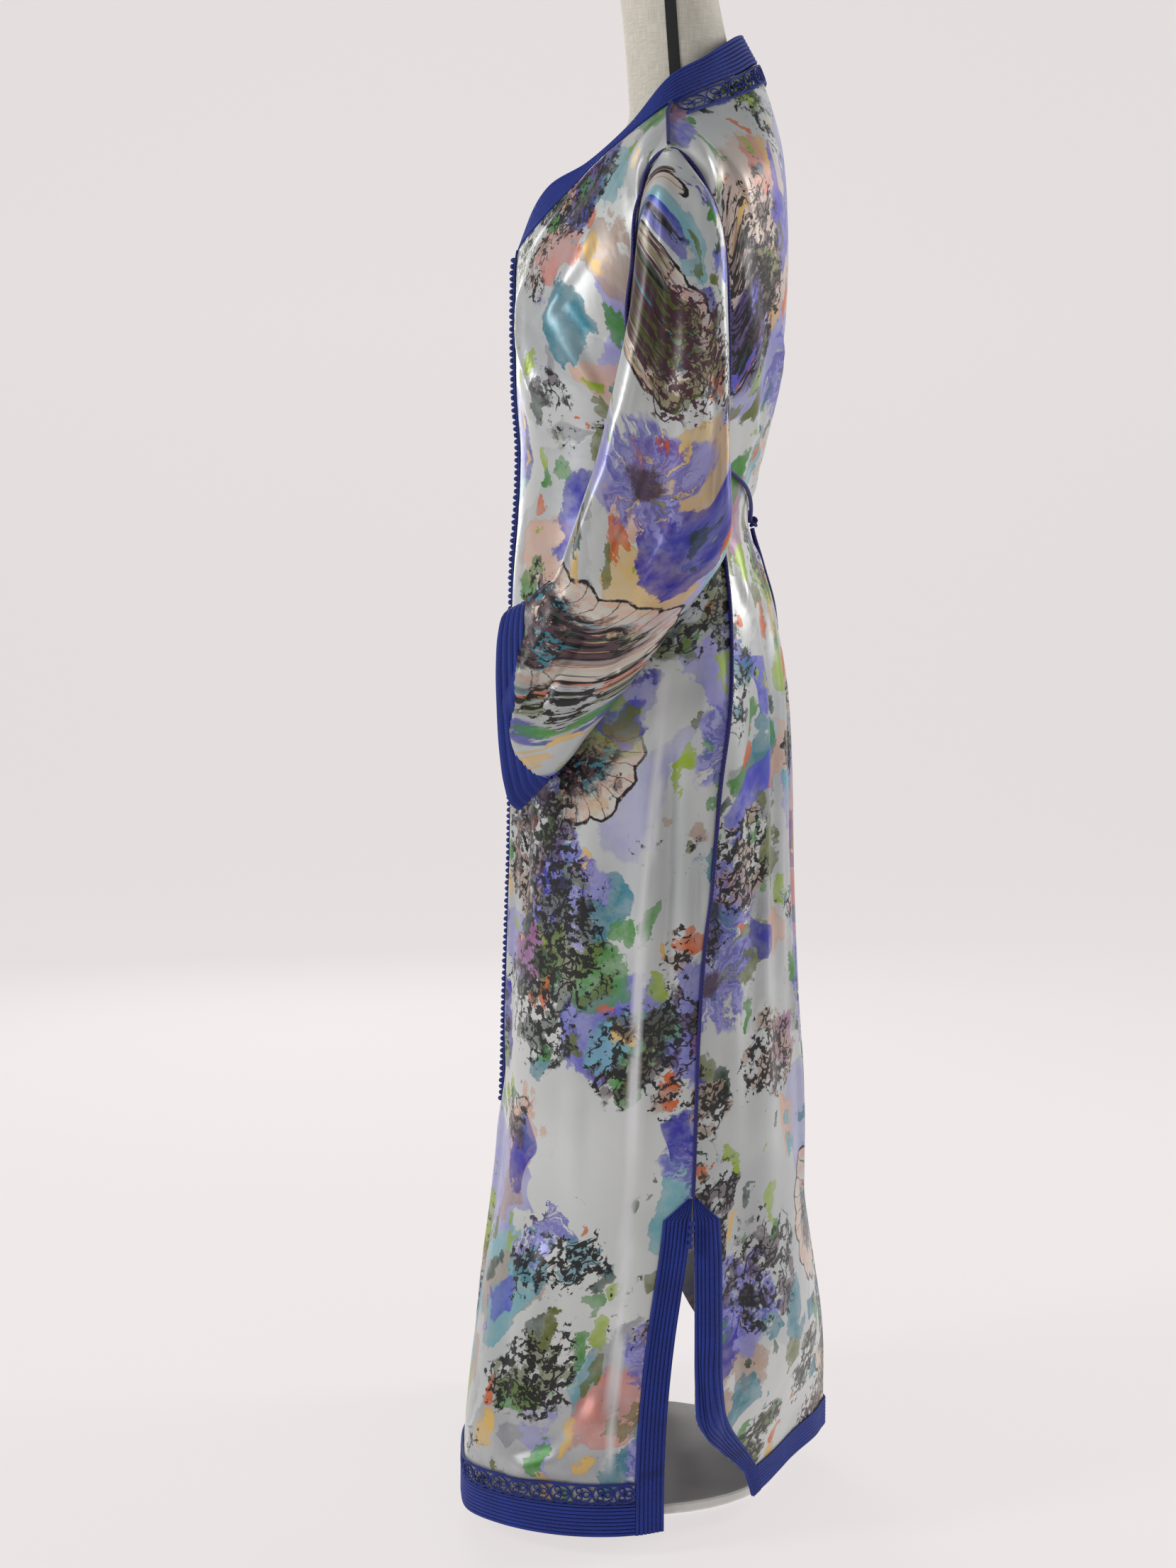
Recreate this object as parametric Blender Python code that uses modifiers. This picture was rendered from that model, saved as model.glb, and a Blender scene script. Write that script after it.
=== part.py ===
"""A Moroccan kaftan on a limbless dress form.

Metres, +Z up. The wearer's left is +X, the front is -Y, and the origin lies under the base, on the pole's
axis. The cloth is a thin wall through points worked out from a table of body sections, a curve for each hem
and a table of sleeve rings. Each cut panel is its own object. Braids, lace and piping are made from the
panels' points, moved out. The right side mirrors the left, with its own depth of folds.
"""
import math
from collections import namedtuple
from functools import lru_cache

import bpy
from mathutils import Vector
from mathutils.bvhtree import BVHTree

# Cloth and trim thicknesses, and the gaps at seams and under trims
CLOTH = 0.0012
SEAM_GAP = 0.0004
LAY_GAP = 0.0004
BRAID = 0.0020
LACE_GAP = 0.0008
LACE = 0.0014

# Widths of trims
FRONT_STRIP = 0.009
SLIT_BAND = 0.025
SLIT_BAND_TIP = 0.004
HEM_BAND = 0.028
HEM_LACE = 0.022
PIPING_RADIUS = 0.0013
PIPING_INSET = 0.0030
PIPING_CLEARANCE = 0.0040
ARMHOLE_BRIDGING = 0.0016
NECK_BAND_GAP = 0.0010
LACE_END_GAP = 0.0030
CUFF_LACE_GAP = 0.0015
SEAM_PIPING_START = 0.0020

# Buttons down the centre front
BUTTON_COUNT = 138
BUTTON_TOP = 1.2310
BUTTON_PITCH = 0.0062
BUTTON_RADIUS = 0.0030
BUTTON_NECK = 0.0013
BUTTON_SIDES = 4

# Levels of the garment
SLIT_OPEN = 0.283
SLIT_SHOULDER = 0.312
SLIT_TOP = 0.332
UNDERARM = 1.050
SHOULDER_TIP = (0.1850, 0.0195, 1.3024)
NECK_CORNER = (0.0880, 0.0216, 1.3620)
BAND_MEETS_FRONT = 1.2360

# Body sections, from the hem up: widest half width, front, middle and back in Y, and how square each half is
Section = namedtuple("Section", "z half_width front middle back front_power back_power")
SECTIONS = (
    Section(0.010, 0.236, -0.160, 0.020, 0.190, 2.6, 2.2),
    Section(0.100, 0.232, -0.158, 0.020, 0.191, 2.6, 2.2),
    Section(0.200, 0.222, -0.152, 0.020, 0.175, 2.6, 2.2),
    Section(0.300, 0.213, -0.143, 0.020, 0.166, 2.5, 2.3),
    Section(0.382, 0.207, -0.139, 0.020, 0.163, 2.5, 2.3),
    Section(0.463, 0.202, -0.137, 0.020, 0.156, 2.4, 2.3),
    Section(0.545, 0.198, -0.134, 0.020, 0.150, 2.4, 2.3),
    Section(0.625, 0.194, -0.131, 0.020, 0.146, 2.4, 2.3),
    Section(0.745, 0.189, -0.129, 0.020, 0.143, 2.4, 2.3),
    Section(0.817, 0.184, -0.128, 0.020, 0.138, 2.4, 2.3),
    Section(0.880, 0.174, -0.128, 0.020, 0.130, 2.3, 2.2),
    Section(0.936, 0.162, -0.127, 0.018, 0.115, 2.3, 2.2),
    Section(0.972, 0.155, -0.124, 0.015, 0.106, 2.3, 2.1),
    Section(1.038, 0.157, -0.121, 0.018, 0.118, 2.3, 2.1),
    Section(1.100, 0.163, -0.125, 0.024, 0.131, 2.3, 2.2),
    Section(1.163, 0.168, -0.126, 0.028, 0.141, 2.3, 2.2),
    Section(1.225, 0.174, -0.125, 0.028, 0.144, 1.8, 2.2),
    Section(1.250, 0.178, -0.121, 0.026, 0.144, 1.45, 2.1),
    Section(1.271, 0.181, -0.112, 0.024, 0.144, 1.25, 2.0),
    Section(1.3024, 0.185, -0.092, 0.0195, 0.143, 1.12, 1.9),
    Section(1.338, 0.1271, -0.047, 0.0207, 0.139, 1.25, 1.9),
    Section(1.362, 0.088, -0.032, 0.0216, 0.134, 1.5, 1.9),
    Section(1.378, 0.082, -0.025, 0.0270, 0.1295, 1.7, 2.0),
    Section(1.404, 0.070, -0.022, 0.0300, 0.120, 1.9, 2.0),
    Section(1.430, 0.062, -0.020, 0.0300, 0.110, 2.0, 2.0),
)

# Where the panels' side edges lie: the slit's two edges, the side seam, then the two sides of the armhole
EdgePoint = namedtuple("EdgePoint", "z y")
SIDE_SEAM = (
    EdgePoint(0.332, 0.0440), EdgePoint(0.416, 0.0470), EdgePoint(0.490, 0.0495), EdgePoint(0.628, 0.0600),
    EdgePoint(0.725, 0.0690), EdgePoint(0.835, 0.0800), EdgePoint(0.880, 0.0790), EdgePoint(0.972, 0.0680),
    EdgePoint(1.050, 0.0480),
)
FRONT_SLIT = (
    EdgePoint(0.015, 0.0180), EdgePoint(0.187, 0.0320), EdgePoint(0.283, 0.0410), EdgePoint(0.332, 0.0440),
)
BACK_SLIT = (
    EdgePoint(0.015, 0.0460), EdgePoint(0.187, 0.0455), EdgePoint(0.283, 0.0450), EdgePoint(0.332, 0.0440),
)
FRONT_ARMHOLE = (
    EdgePoint(1.050, 0.0480), EdgePoint(1.063, 0.0180), EdgePoint(1.080, 0.0020), EdgePoint(1.111, -0.0110),
    EdgePoint(1.151, -0.0165), EdgePoint(1.200, -0.0115), EdgePoint(1.247, -0.0080), EdgePoint(1.289, 0.0040),
    EdgePoint(1.3024, 0.0195),
)
BACK_ARMHOLE = (
    EdgePoint(1.050, 0.0480), EdgePoint(1.063, 0.0660), EdgePoint(1.080, 0.0735), EdgePoint(1.111, 0.0750),
    EdgePoint(1.151, 0.0745), EdgePoint(1.200, 0.0725), EdgePoint(1.247, 0.0625), EdgePoint(1.289, 0.0395),
    EdgePoint(1.3024, 0.0195),
)

# Neck seam on the body, from the centre out to the shoulder seam
NeckPoint = namedtuple("NeckPoint", "x z")
FRONT_NECK = (
    NeckPoint(0.000, BAND_MEETS_FRONT), NeckPoint(0.024, 1.2440), NeckPoint(0.046, 1.2610),
    NeckPoint(0.064, 1.2900), NeckPoint(0.076, 1.3200), NeckPoint(0.084, 1.3440), NeckPoint(0.088, 1.3620),
)
BACK_NECK = (
    NeckPoint(0.000, 1.4210), NeckPoint(0.028, 1.4150), NeckPoint(0.050, 1.4020), NeckPoint(0.069, 1.3890),
    NeckPoint(0.081, 1.3760), NeckPoint(0.088, 1.3620),
)

# Upper edge of the neck band on the left: centre front to shoulder, and centre back to shoulder
RimPoint = namedtuple("RimPoint", "x y z")
FRONT_RIM = (
    RimPoint(0.0012, -0.1150, 1.2600), RimPoint(0.016, -0.1050, 1.2830), RimPoint(0.031, -0.0880, 1.3010),
    RimPoint(0.045, -0.0606, 1.3130), RimPoint(0.055, -0.0330, 1.3320), RimPoint(0.062, 0.0006, 1.3640),
    RimPoint(0.065, 0.0264, 1.3960),
)
BACK_RIM = (
    RimPoint(0.000, 0.0978, 1.4500), RimPoint(0.028, 0.0890, 1.4420), RimPoint(0.049, 0.0706, 1.4250),
    RimPoint(0.060, 0.0458, 1.4080), RimPoint(0.065, 0.0264, 1.3960),
)

# Hems on the left, from the centre out to the slit
HemPoint = namedtuple("HemPoint", "x y z")
FRONT_HEM = (
    HemPoint(0.0005, -0.158, 0.026), HemPoint(0.048, -0.165, 0.023), HemPoint(0.108, -0.177, 0.021),
    HemPoint(0.165, -0.172, 0.020), HemPoint(0.208, -0.137, 0.020), HemPoint(0.232, -0.080, 0.019),
    HemPoint(0.238, -0.032, 0.019), HemPoint(0.227, 0.017, 0.021),
)
BACK_HEM = (
    HemPoint(0.000, 0.190, 0.040), HemPoint(0.040, 0.176, 0.040), HemPoint(0.080, 0.150, 0.036),
    HemPoint(0.115, 0.128, 0.029), HemPoint(0.150, 0.105, 0.022),
)
# Height up to which each hem's own curve shapes the panel, at its centre and at its slit
HemReach = namedtuple("HemReach", "centre slit")
FRONT_HEM_REACH = HemReach(0.400, 0.330)
BACK_HEM_REACH = HemReach(0.330, 0.135)

# Folds: place across the panel (0 centre, 1 side), its half width, its drift across per metre of height, the
# heights between which it runs, and its depth (a trough is negative)
Fold = namedtuple("Fold", "across half_width drift low high depth")
FRONT_FOLDS = (
    Fold(0.52, 0.20, 0.00, 0.030, 0.185, 0.0070),
    Fold(0.30, 0.14, -0.55, 1.020, 1.230, 0.0050),
    Fold(0.62, 0.13, 0.05, 0.200, 0.860, -0.0035),
    Fold(0.80, 0.10, 0.00, 0.330, 0.870, 0.0045),
    Fold(0.36, 0.14, 0.00, 0.120, 0.620, 0.0030),
)
BACK_FOLDS = (
    Fold(0.16, 0.10, 0.00, 0.420, 0.950, 0.0055),
    Fold(0.40, 0.10, 0.10, 0.300, 0.950, 0.0050),
    Fold(0.28, 0.08, 0.05, 0.200, 0.930, -0.0040),
    Fold(0.66, 0.11, 0.10, 0.090, 0.900, 0.0050),
    Fold(0.53, 0.09, 0.05, 0.150, 0.880, -0.0040),
    Fold(0.30, 0.16, -0.40, 0.990, 1.240, 0.0040),
)
FOLD_RUN_IN = 0.4
LEFT_FOLDS = 1.0
RIGHT_FOLDS = 0.8

# Rows of points: heights above the hem, then levels, then shares of the way from the underarm to the top edge
HEM_ROWS = (0.0, HEM_BAND, HEM_BAND + HEM_LACE)
LEVEL_ROWS = (0.085, 0.120, 0.160, 0.205, 0.245, SLIT_OPEN, SLIT_SHOULDER, SLIT_TOP, 0.400, 0.480, 0.560,
              0.640, 0.720, 0.790, 0.845, 0.890, 0.930, 0.972, 1.010, UNDERARM)
TOP_ROWS = (0.05, 0.12, 0.24, 0.40, 0.60, 0.78, 0.946, 1.0)
EVEN_COLUMNS = 8
NECK_COLUMN = {"front": 5, "back": 4}
SLIT_TOP_ROW = len(HEM_ROWS) + LEVEL_ROWS.index(SLIT_TOP)
UNDERARM_ROW = len(HEM_ROWS) + LEVEL_ROWS.index(UNDERARM)
GIRTH_SAMPLES = 72

# Sleeve rings from the shoulder to the cuff: the front and back edges, the inner and outer faces in X, how
# far the outer face stands above the ring's middle and the inner face hangs below it, a fold on the outer
# face, and how far that face bows forward
SleeveRing = namedtuple("SleeveRing", "front_y front_z back_y back_z inner_x outer_x rise drop fold bow")
SLEEVE = (
    SleeveRing(-0.0112, 1.180, 0.0735, 1.172, 0.1715, 0.203, 0.093, 0.118, 0.000, 0.000),
    SleeveRing(-0.0140, 1.155, 0.0742, 1.140, 0.1760, 0.213, 0.060, 0.099, 0.000, 0.000),
    SleeveRing(-0.0220, 1.115, 0.0750, 1.095, 0.1800, 0.219, 0.035, 0.066, 0.002, 0.000),
    SleeveRing(-0.0292, 1.086, 0.0755, 1.052, 0.1830, 0.221, 0.020, 0.038, 0.003, 0.000),
    SleeveRing(-0.0400, 1.042, 0.0765, 1.005, 0.1860, 0.222, 0.008, 0.014, 0.004, 0.000),
    SleeveRing(-0.0485, 1.010, 0.0778, 0.960, 0.1880, 0.222, 0.000, 0.000, 0.004, 0.000),
    SleeveRing(-0.0570, 0.985, 0.0720, 0.932, 0.1885, 0.222, 0.000, 0.000, 0.004, 0.000),
    SleeveRing(-0.0666, 0.957, 0.0572, 0.908, 0.1880, 0.222, 0.000, 0.000, 0.004, 0.000),
    SleeveRing(-0.0740, 0.936, 0.0247, 0.865, 0.1850, 0.220, 0.000, 0.000, 0.005, 0.000),
    SleeveRing(-0.0790, 0.922, -0.0120, 0.817, 0.1790, 0.215, 0.000, 0.000, 0.006, 0.000),
    SleeveRing(-0.0830, 0.914, -0.0430, 0.779, 0.1710, 0.209, 0.000, 0.000, 0.006, 0.002),
    SleeveRing(-0.0880, 0.906, -0.0737, 0.743, 0.1640, 0.201, 0.000, 0.000, 0.006, 0.005),
    SleeveRing(-0.1060, 0.891, -0.0917, 0.723, 0.1560, 0.193, 0.000, 0.000, 0.005, 0.010),
    SleeveRing(-0.1270, 0.879, -0.1200, 0.694, 0.1480, 0.184, 0.000, 0.000, 0.003, 0.015),
)
SLEEVE_SQUARE = 2.4
SLEEVE_POINTS = 2 * len(TOP_ROWS)
ARMHOLE_INSET = 0.0013

# Lace: round holes cut in each cell of a panel's row
LACE_HOLE_SIDES = 6
LACE_HOLE_SHARE = 0.31
HEM_RINGS = 2
NECK_RINGS = 1
CUFF_RINGS = 1

# Knots at the slits, and the tie at the back waist with its two hanging ends
SLIT_KNOTS = 4
SLIT_KNOT_PITCH = 0.0070
SLIT_KNOT_TOP = 0.3100
TIE_RADIUS = 0.0020
TIE_SIDE_LEVEL = 1.020
TIE_KNOT_LEVEL = 0.9700
TIE_KNOT_RADIUS = 0.0060
TIE_END_GAP = 0.0015
TIE_END_POINTS = 8
TieEnd = namedtuple("TieEnd", "name side start_x end_x bottom")
TIE_ENDS = (TieEnd("tie_end_long", 1, 0.003, 0.009, 0.846), TieEnd("tie_end_short", -1, 0.003, 0.007, 0.925))

# Dress form: neck rings, and how far the torso stays inside the cloth
FormRing = namedtuple("FormRing", "z half_width front back")
FORM_NECK = (
    FormRing(1.388, 0.0530, -0.0170, 0.1010), FormRing(1.420, 0.0510, -0.0190, 0.0925),
    FormRing(1.455, 0.0505, -0.0220, 0.0850), FormRing(1.490, 0.0510, -0.0260, 0.0770),
    FormRing(1.522, 0.0520, -0.0290, 0.0740), FormRing(1.530, 0.0490, -0.0255, 0.0705),
)
Clearance = namedtuple("Clearance", "z inset")
FORM_TORSO = (
    Clearance(0.790, 0.050), Clearance(0.805, 0.036), Clearance(0.860, 0.026), Clearance(0.930, 0.018),
    Clearance(0.985, 0.014), Clearance(1.060, 0.012), Clearance(1.150, 0.011), Clearance(1.230, 0.012),
    Clearance(1.275, 0.015), Clearance(1.300, 0.0142), Clearance(1.325, 0.0122), Clearance(1.348, 0.0112),
    Clearance(1.366, 0.0150),
)
FORM_SIDES = 24
FORM_SOFTENING = 3
POLE_RADIUS = 0.012
POLE_SIDES = 16
BASE_RADIUS = 0.145
BASE_HEIGHT = 0.012
BASE_BEVEL = 0.003
BASE_SIDES = 40

# Finishes: linear red, green and blue, then roughness and metallic
Finish = namedtuple("Finish", "colour roughness metallic")
FINISHES = {
    "satin": Finish((0.76, 0.76, 0.79), 0.34, 0.0),
    "braid": Finish((0.030, 0.062, 0.300), 0.62, 0.0),
    "piping": Finish((0.022, 0.014, 0.130), 0.55, 0.0),
    "linen": Finish((0.700, 0.660, 0.570), 0.85, 0.0),
    "steel": Finish((0.620, 0.620, 0.630), 0.30, 1.0),
    "base": Finish((0.800, 0.790, 0.770), 0.50, 0.0),
}


# Smooth curves through the tables

class Profile:
    """A smooth curve through (place, value) points, with no overshoot between them."""

    def __init__(self, points):
        self.places = [p[0] for p in points]
        self.values = [p[1] for p in points]
        steps = [b - a for a, b in zip(self.places, self.places[1:])]
        rises = [(b - a) / s for a, b, s in zip(self.values, self.values[1:], steps)]
        self.slopes = [rises[0]] + [mean_slope(*pair) for pair in zip(rises, rises[1:])] + [rises[-1]]

    def __call__(self, place):
        place = min(max(place, self.places[0]), self.places[-1])
        k = max(i for i, start in enumerate(self.places[:-1]) if start <= place)
        step = self.places[k + 1] - self.places[k]
        t = (place - self.places[k]) / step
        rest = 1 - t
        return (rest * rest * (1 + 2 * t) * self.values[k] + t * t * (3 - 2 * t) * self.values[k + 1]
                + step * t * rest * (rest * self.slopes[k] - t * self.slopes[k + 1]))


def mean_slope(before, after):
    return 2 * before * after / (before + after) if before * after > 0 else 0.0


class Path:
    """A smooth curve through points, read by its share of the whole length."""

    def __init__(self, points):
        points = [Vector(p) for p in points]
        lengths = [0.0]
        for a, b in zip(points, points[1:]):
            lengths.append(lengths[-1] + (b - a).length)
        shares = [length / lengths[-1] for length in lengths]
        self.axes = [Profile(list(zip(shares, [p[axis] for p in points]))) for axis in range(len(points[0]))]

    def __call__(self, share):
        return Vector([axis(share) for axis in self.axes])


def table_column(rows, name):
    return Profile([(row.z, getattr(row, name)) for row in rows])


def ease(share):
    """A soft step from 0 to 1."""
    share = min(max(share, 0.0), 1.0)
    return share * share * (3 - 2 * share)


def towards(point, other, distance):
    return point + (other - point).normalized() * distance


# Body surface

HALF_WIDTH = table_column(SECTIONS, "half_width")
FRONT = table_column(SECTIONS, "front")
MIDDLE = table_column(SECTIONS, "middle")
BACK = table_column(SECTIONS, "back")
FRONT_POWER = table_column(SECTIONS, "front_power")
BACK_POWER = table_column(SECTIONS, "back_power")


def half_limits(z, at_back):
    """How far one half of a section reaches in Y, and how square it is."""
    return (BACK(z), BACK_POWER(z)) if at_back else (FRONT(z), FRONT_POWER(z))


def body_point(angle, z, inset=0.0):
    """The body at this height, from angle 0 at the centre front to pi at the centre back."""
    at_back = angle > math.pi / 2
    limit, power = half_limits(z, at_back)
    limit += -inset if at_back else inset
    x = (HALF_WIDTH(z) - inset) * abs(math.sin(angle)) ** (2 / power)
    y = MIDDLE(z) + (limit - MIDDLE(z)) * abs(math.cos(angle)) ** (2 / power)
    return Vector((x, y, z))


def onto_body(x, y, z):
    """The point of the section straight out from the section's middle through this place."""
    limit, power = half_limits(z, y > MIDDLE(z))
    across, along = abs(x / HALF_WIDTH(z)), abs((y - MIDDLE(z)) / (limit - MIDDLE(z)))
    reach = (across ** power + along ** power) ** (1 / power)
    return Vector((x / reach, MIDDLE(z) + (y - MIDDLE(z)) / reach, z))


def angle_at_y(y, z):
    at_back = y > MIDDLE(z)
    limit, power = half_limits(z, at_back)
    share = min(max((y - MIDDLE(z)) / (limit - MIDDLE(z)), 0.0), 1.0)
    angle = math.acos(share ** (power / 2))
    return math.pi - angle if at_back else angle


def angle_at_x(x, z, at_back):
    power = half_limits(z, at_back)[1]
    angle = math.asin(min(x / HALF_WIDTH(z), 1.0) ** (power / 2))
    return math.pi - angle if at_back else angle


class Girth:
    """Lengths along a half section, from its centre line round to the far centre line."""

    def __init__(self, z, at_back):
        steps = [math.pi * k / GIRTH_SAMPLES for k in range(GIRTH_SAMPLES + 1)]
        self.angles = [math.pi - step for step in steps] if at_back else steps
        points = [body_point(angle, z) for angle in self.angles]
        self.lengths = [0.0]
        for a, b in zip(points, points[1:]):
            self.lengths.append(self.lengths[-1] + (b - a).length)

    def length_at(self, angle):
        return interpolate(abs(angle - self.angles[0]), [abs(a - self.angles[0]) for a in self.angles],
                           self.lengths)

    def angle_at(self, length):
        return interpolate(length, self.lengths, self.angles)


def interpolate(value, places, values):
    for k in range(len(places) - 1):
        if value <= places[k + 1]:
            share = (value - places[k]) / (places[k + 1] - places[k])
            return values[k] + (values[k + 1] - values[k]) * share
    return values[-1]


@lru_cache(maxsize=None)
def girth(z, at_back):
    return Girth(z, at_back)


class Panel:
    """The left half of a cut panel: where its points lie, from its centre line out to its side edge."""

    def __init__(self, at_back, slit, armhole, neck, hem, reach, folds, strip, neck_column):
        self.at_back = at_back
        self.slit, self.seam, self.armhole = Profile(slit), Profile(SIDE_SEAM), Profile(armhole)
        self.neck = Path(neck)
        self.hem = Path(hem)
        self.reach = reach
        self.folds = folds
        self.strip = strip
        self.neck_column = neck_column

    def edge(self, z):
        """The Y of the panel's side edge."""
        if z <= SLIT_TOP:
            return self.slit(z)
        return self.seam(z) if z <= UNDERARM else self.armhole(z)

    def side_length(self, z):
        """Length round the section from the centre line to the side edge."""
        return girth(z, self.at_back).length_at(angle_at_y(self.edge(z), z))

    def columns(self, z):
        """Shares across the panel: a strip at the front's centre, even columns, and a band at the side."""
        length = self.side_length(z)
        start = self.strip / length
        end = 1 - SLIT_BAND / length
        even = [start + (end - start) * k / EVEN_COLUMNS for k in range(EVEN_COLUMNS + 1)]
        return ([0.0] if self.strip else []) + even + [1.0]

    def fold_depth(self, across, z):
        depth = 0.0
        for fold in self.folds:
            centre = fold.across + fold.drift * (z - (fold.low + fold.high) / 2)
            near = 1 - abs(across - centre) / fold.half_width
            along = min(z - fold.low, fold.high - z) / (FOLD_RUN_IN * (fold.high - fold.low))
            depth += fold.depth * ease(near) * ease(along)
        return depth

    def place(self, length, across, z, fold_scale):
        """The body's point, drawn to the hem's own curve near the hem, then moved out by its folds."""
        point = body_point(girth(z, self.at_back).angle_at(length), z)
        hem = self.hem(across)
        reach = self.reach.centre + (self.reach.slit - self.reach.centre) * across
        share = ease((reach - z) / (reach - hem.z))
        point.x += (hem.x - point.x) * share
        point.y += (hem.y - point.y) * share
        return self.folded(point, across, fold_scale)

    def folded(self, point, across, fold_scale):
        out = Vector((point.x, point.y - MIDDLE(point.z), 0)).normalized()
        return point + out * self.fold_depth(across, point.z) * fold_scale

    def rows(self, fold_scale):
        """All the half panel's points, a list for each row from the hem up."""
        result = []
        for height in HEM_ROWS:
            level = LEVEL_ROWS[0]
            result.append([self.place(self.side_length(level) * across, across, self.hem(across).z + height,
                                      fold_scale) for across in self.columns(level)])
        for z in LEVEL_ROWS:
            result.append([self.place(self.side_length(z) * across, across, z, fold_scale)
                           for across in self.columns(z)])
        shares = self.columns(UNDERARM)
        for rise in TOP_ROWS:
            result.append([self.top_point(j, shares, rise, fold_scale) for j in range(len(shares))])
        return result

    def top_edge(self, j, shares):
        """The panel's top edge at a column: along the neck, then down the straight shoulder seam."""
        if j <= self.neck_column:
            x, z = self.neck(shares[j] / shares[self.neck_column])
            return body_point(angle_at_x(x, z, self.at_back), z)
        share = (shares[j] - shares[self.neck_column]) / (1 - shares[self.neck_column])
        return Vector(NECK_CORNER).lerp(Vector(SHOULDER_TIP), share)

    def top_point(self, j, shares, rise, fold_scale):
        """A blend of the underarm row, the top edge and the armhole, brought back onto the body."""
        across = shares[j]
        top = self.top_edge(j, shares)
        if rise == 1.0:
            return top
        underarm = [self.place(self.side_length(UNDERARM) * share, share, UNDERARM, 0.0)
                    for share in (across, 1.0)]
        side_z = UNDERARM + (SHOULDER_TIP[2] - UNDERARM) * rise
        side = body_point(angle_at_y(self.edge(side_z), side_z), side_z)
        spot = underarm[0].lerp(top, rise) + (side - underarm[1].lerp(Vector(SHOULDER_TIP), rise)) * across
        point = onto_body(spot.x, spot.y, UNDERARM + (top.z - UNDERARM) * rise)
        return self.folded(point, across, fold_scale)


FRONT_PANEL = Panel(False, FRONT_SLIT, FRONT_ARMHOLE, FRONT_NECK, FRONT_HEM, FRONT_HEM_REACH, FRONT_FOLDS,
                    FRONT_STRIP, NECK_COLUMN["front"])
BACK_PANEL = Panel(True, BACK_SLIT, BACK_ARMHOLE, BACK_NECK, BACK_HEM, BACK_HEM_REACH, BACK_FOLDS, 0.0,
                   NECK_COLUMN["back"])


# Grids of points, and the walls made from them

class Grid:
    """Rows of points with outward normals. A closed grid's rows run right round."""

    def __init__(self, points, outward, closed=False, normals=None):
        self.points = points
        self.outward = outward
        self.closed = closed
        self.normals = normals or [[self.normal_at(i, j) for j in range(len(points[0]))]
                                   for i in range(len(points))]

    def normal_at(self, i, j):
        height, width = len(self.points), len(self.points[0])
        row = self.points[i]
        up = self.points[min(i + 1, height - 1)][j] - self.points[max(i - 1, 0)][j]
        before = row[(j - 1) % width] if self.closed else row[max(j - 1, 0)]
        after = row[(j + 1) % width] if self.closed else row[min(j + 1, width - 1)]
        return (after - before).cross(up).normalized() * self.outward

    def block(self, rows, columns):
        """The part of the grid between these rows and columns, both ends kept."""
        def pick(table):
            return [[table[i][j].copy() for j in range(columns[0], columns[1] + 1)]
                    for i in range(rows[0], rows[1] + 1)]
        return Grid(pick(self.points), self.outward, False, pick(self.normals))

    def rows_between(self, low, high):
        """The part of a closed grid between two rows."""
        return Grid(self.points[low:high + 1], self.outward, self.closed, self.normals[low:high + 1])

    def trimmed(self, bottom=0.0, top=0.0, start=0.0, end=0.0):
        """A copy whose edges are drawn in by these distances."""
        points = [[p.copy() for p in row] for row in self.points]
        for j in range(len(points[0])):
            points[0][j] = towards(points[0][j], points[1][j], bottom)
            points[-1][j] = towards(points[-1][j], points[-2][j], top)
        for row in points:
            row[0] = towards(row[0], row[1], start)
            row[-1] = towards(row[-1], row[-2], end)
        return Grid(points, self.outward, self.closed, self.normals)

    def cells(self):
        """Row, column and next column of each cell."""
        width = len(self.points[0])
        for i in range(len(self.points) - 1):
            for j in range(width if self.closed else width - 1):
                yield i, j, (j + 1) % width

    def corners(self, i, j, k):
        """A cell's four corners, starting from an end of its shorter diagonal."""
        corners = [(i, j), (i, k), (i + 1, k), (i + 1, j)]
        a, b, c, d = [self.points[row][column] for row, column in corners]
        return corners if (a - c).length <= (b - d).length else corners[1:] + corners[:1]

    def moved(self, distance):
        return [[p + n * distance for p, n in zip(points, normals)]
                for points, normals in zip(self.points, self.normals)]

    def on_column(self, j, z, distance):
        """The point of a column at this height, moved out from the cloth's middle."""
        for i in range(len(self.points) - 1):
            low, high = self.points[i][j], self.points[i + 1][j]
            if low.z <= z <= high.z:
                share = (z - low.z) / (high.z - low.z)
                normal = self.normals[i][j].lerp(self.normals[i + 1][j], share).normalized()
                return low.lerp(high, share) + normal * distance
        raise ValueError(f"column {j} doesn't reach {z}")


class Cloth:
    """The middle surface of the body's panels, for laying cords on."""

    def __init__(self, grids):
        points, faces = [], []
        for grid in grids:
            start, width = len(points), len(grid.points[0])
            points += [point for row in grid.points for point in row]
            for cell in grid.cells():
                a, b, c, d = [start + row * width + column for row, column in grid.corners(*cell)]
                faces += [(a, b, c), (a, c, d)]
        self.tree = BVHTree.FromPolygons(points, faces)

    def lay(self, point, lift):
        """The point moved to this distance from the cloth."""
        nearest = self.tree.find_nearest(point)[0]
        return towards(nearest, point, lift)


def mirrored(rows):
    return [[Vector((-p.x, p.y, p.z)) for p in row] for row in rows]


def share_normals(first, row_a, column_a, second, row_b, column_b):
    """A seam point of two grids takes one normal, so that their walls meet edge to edge."""
    mean = (first.normals[row_a][column_a] + second.normals[row_b][column_b]).normalized()
    first.normals[row_a][column_a] = mean
    second.normals[row_b][column_b] = mean.copy()


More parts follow.
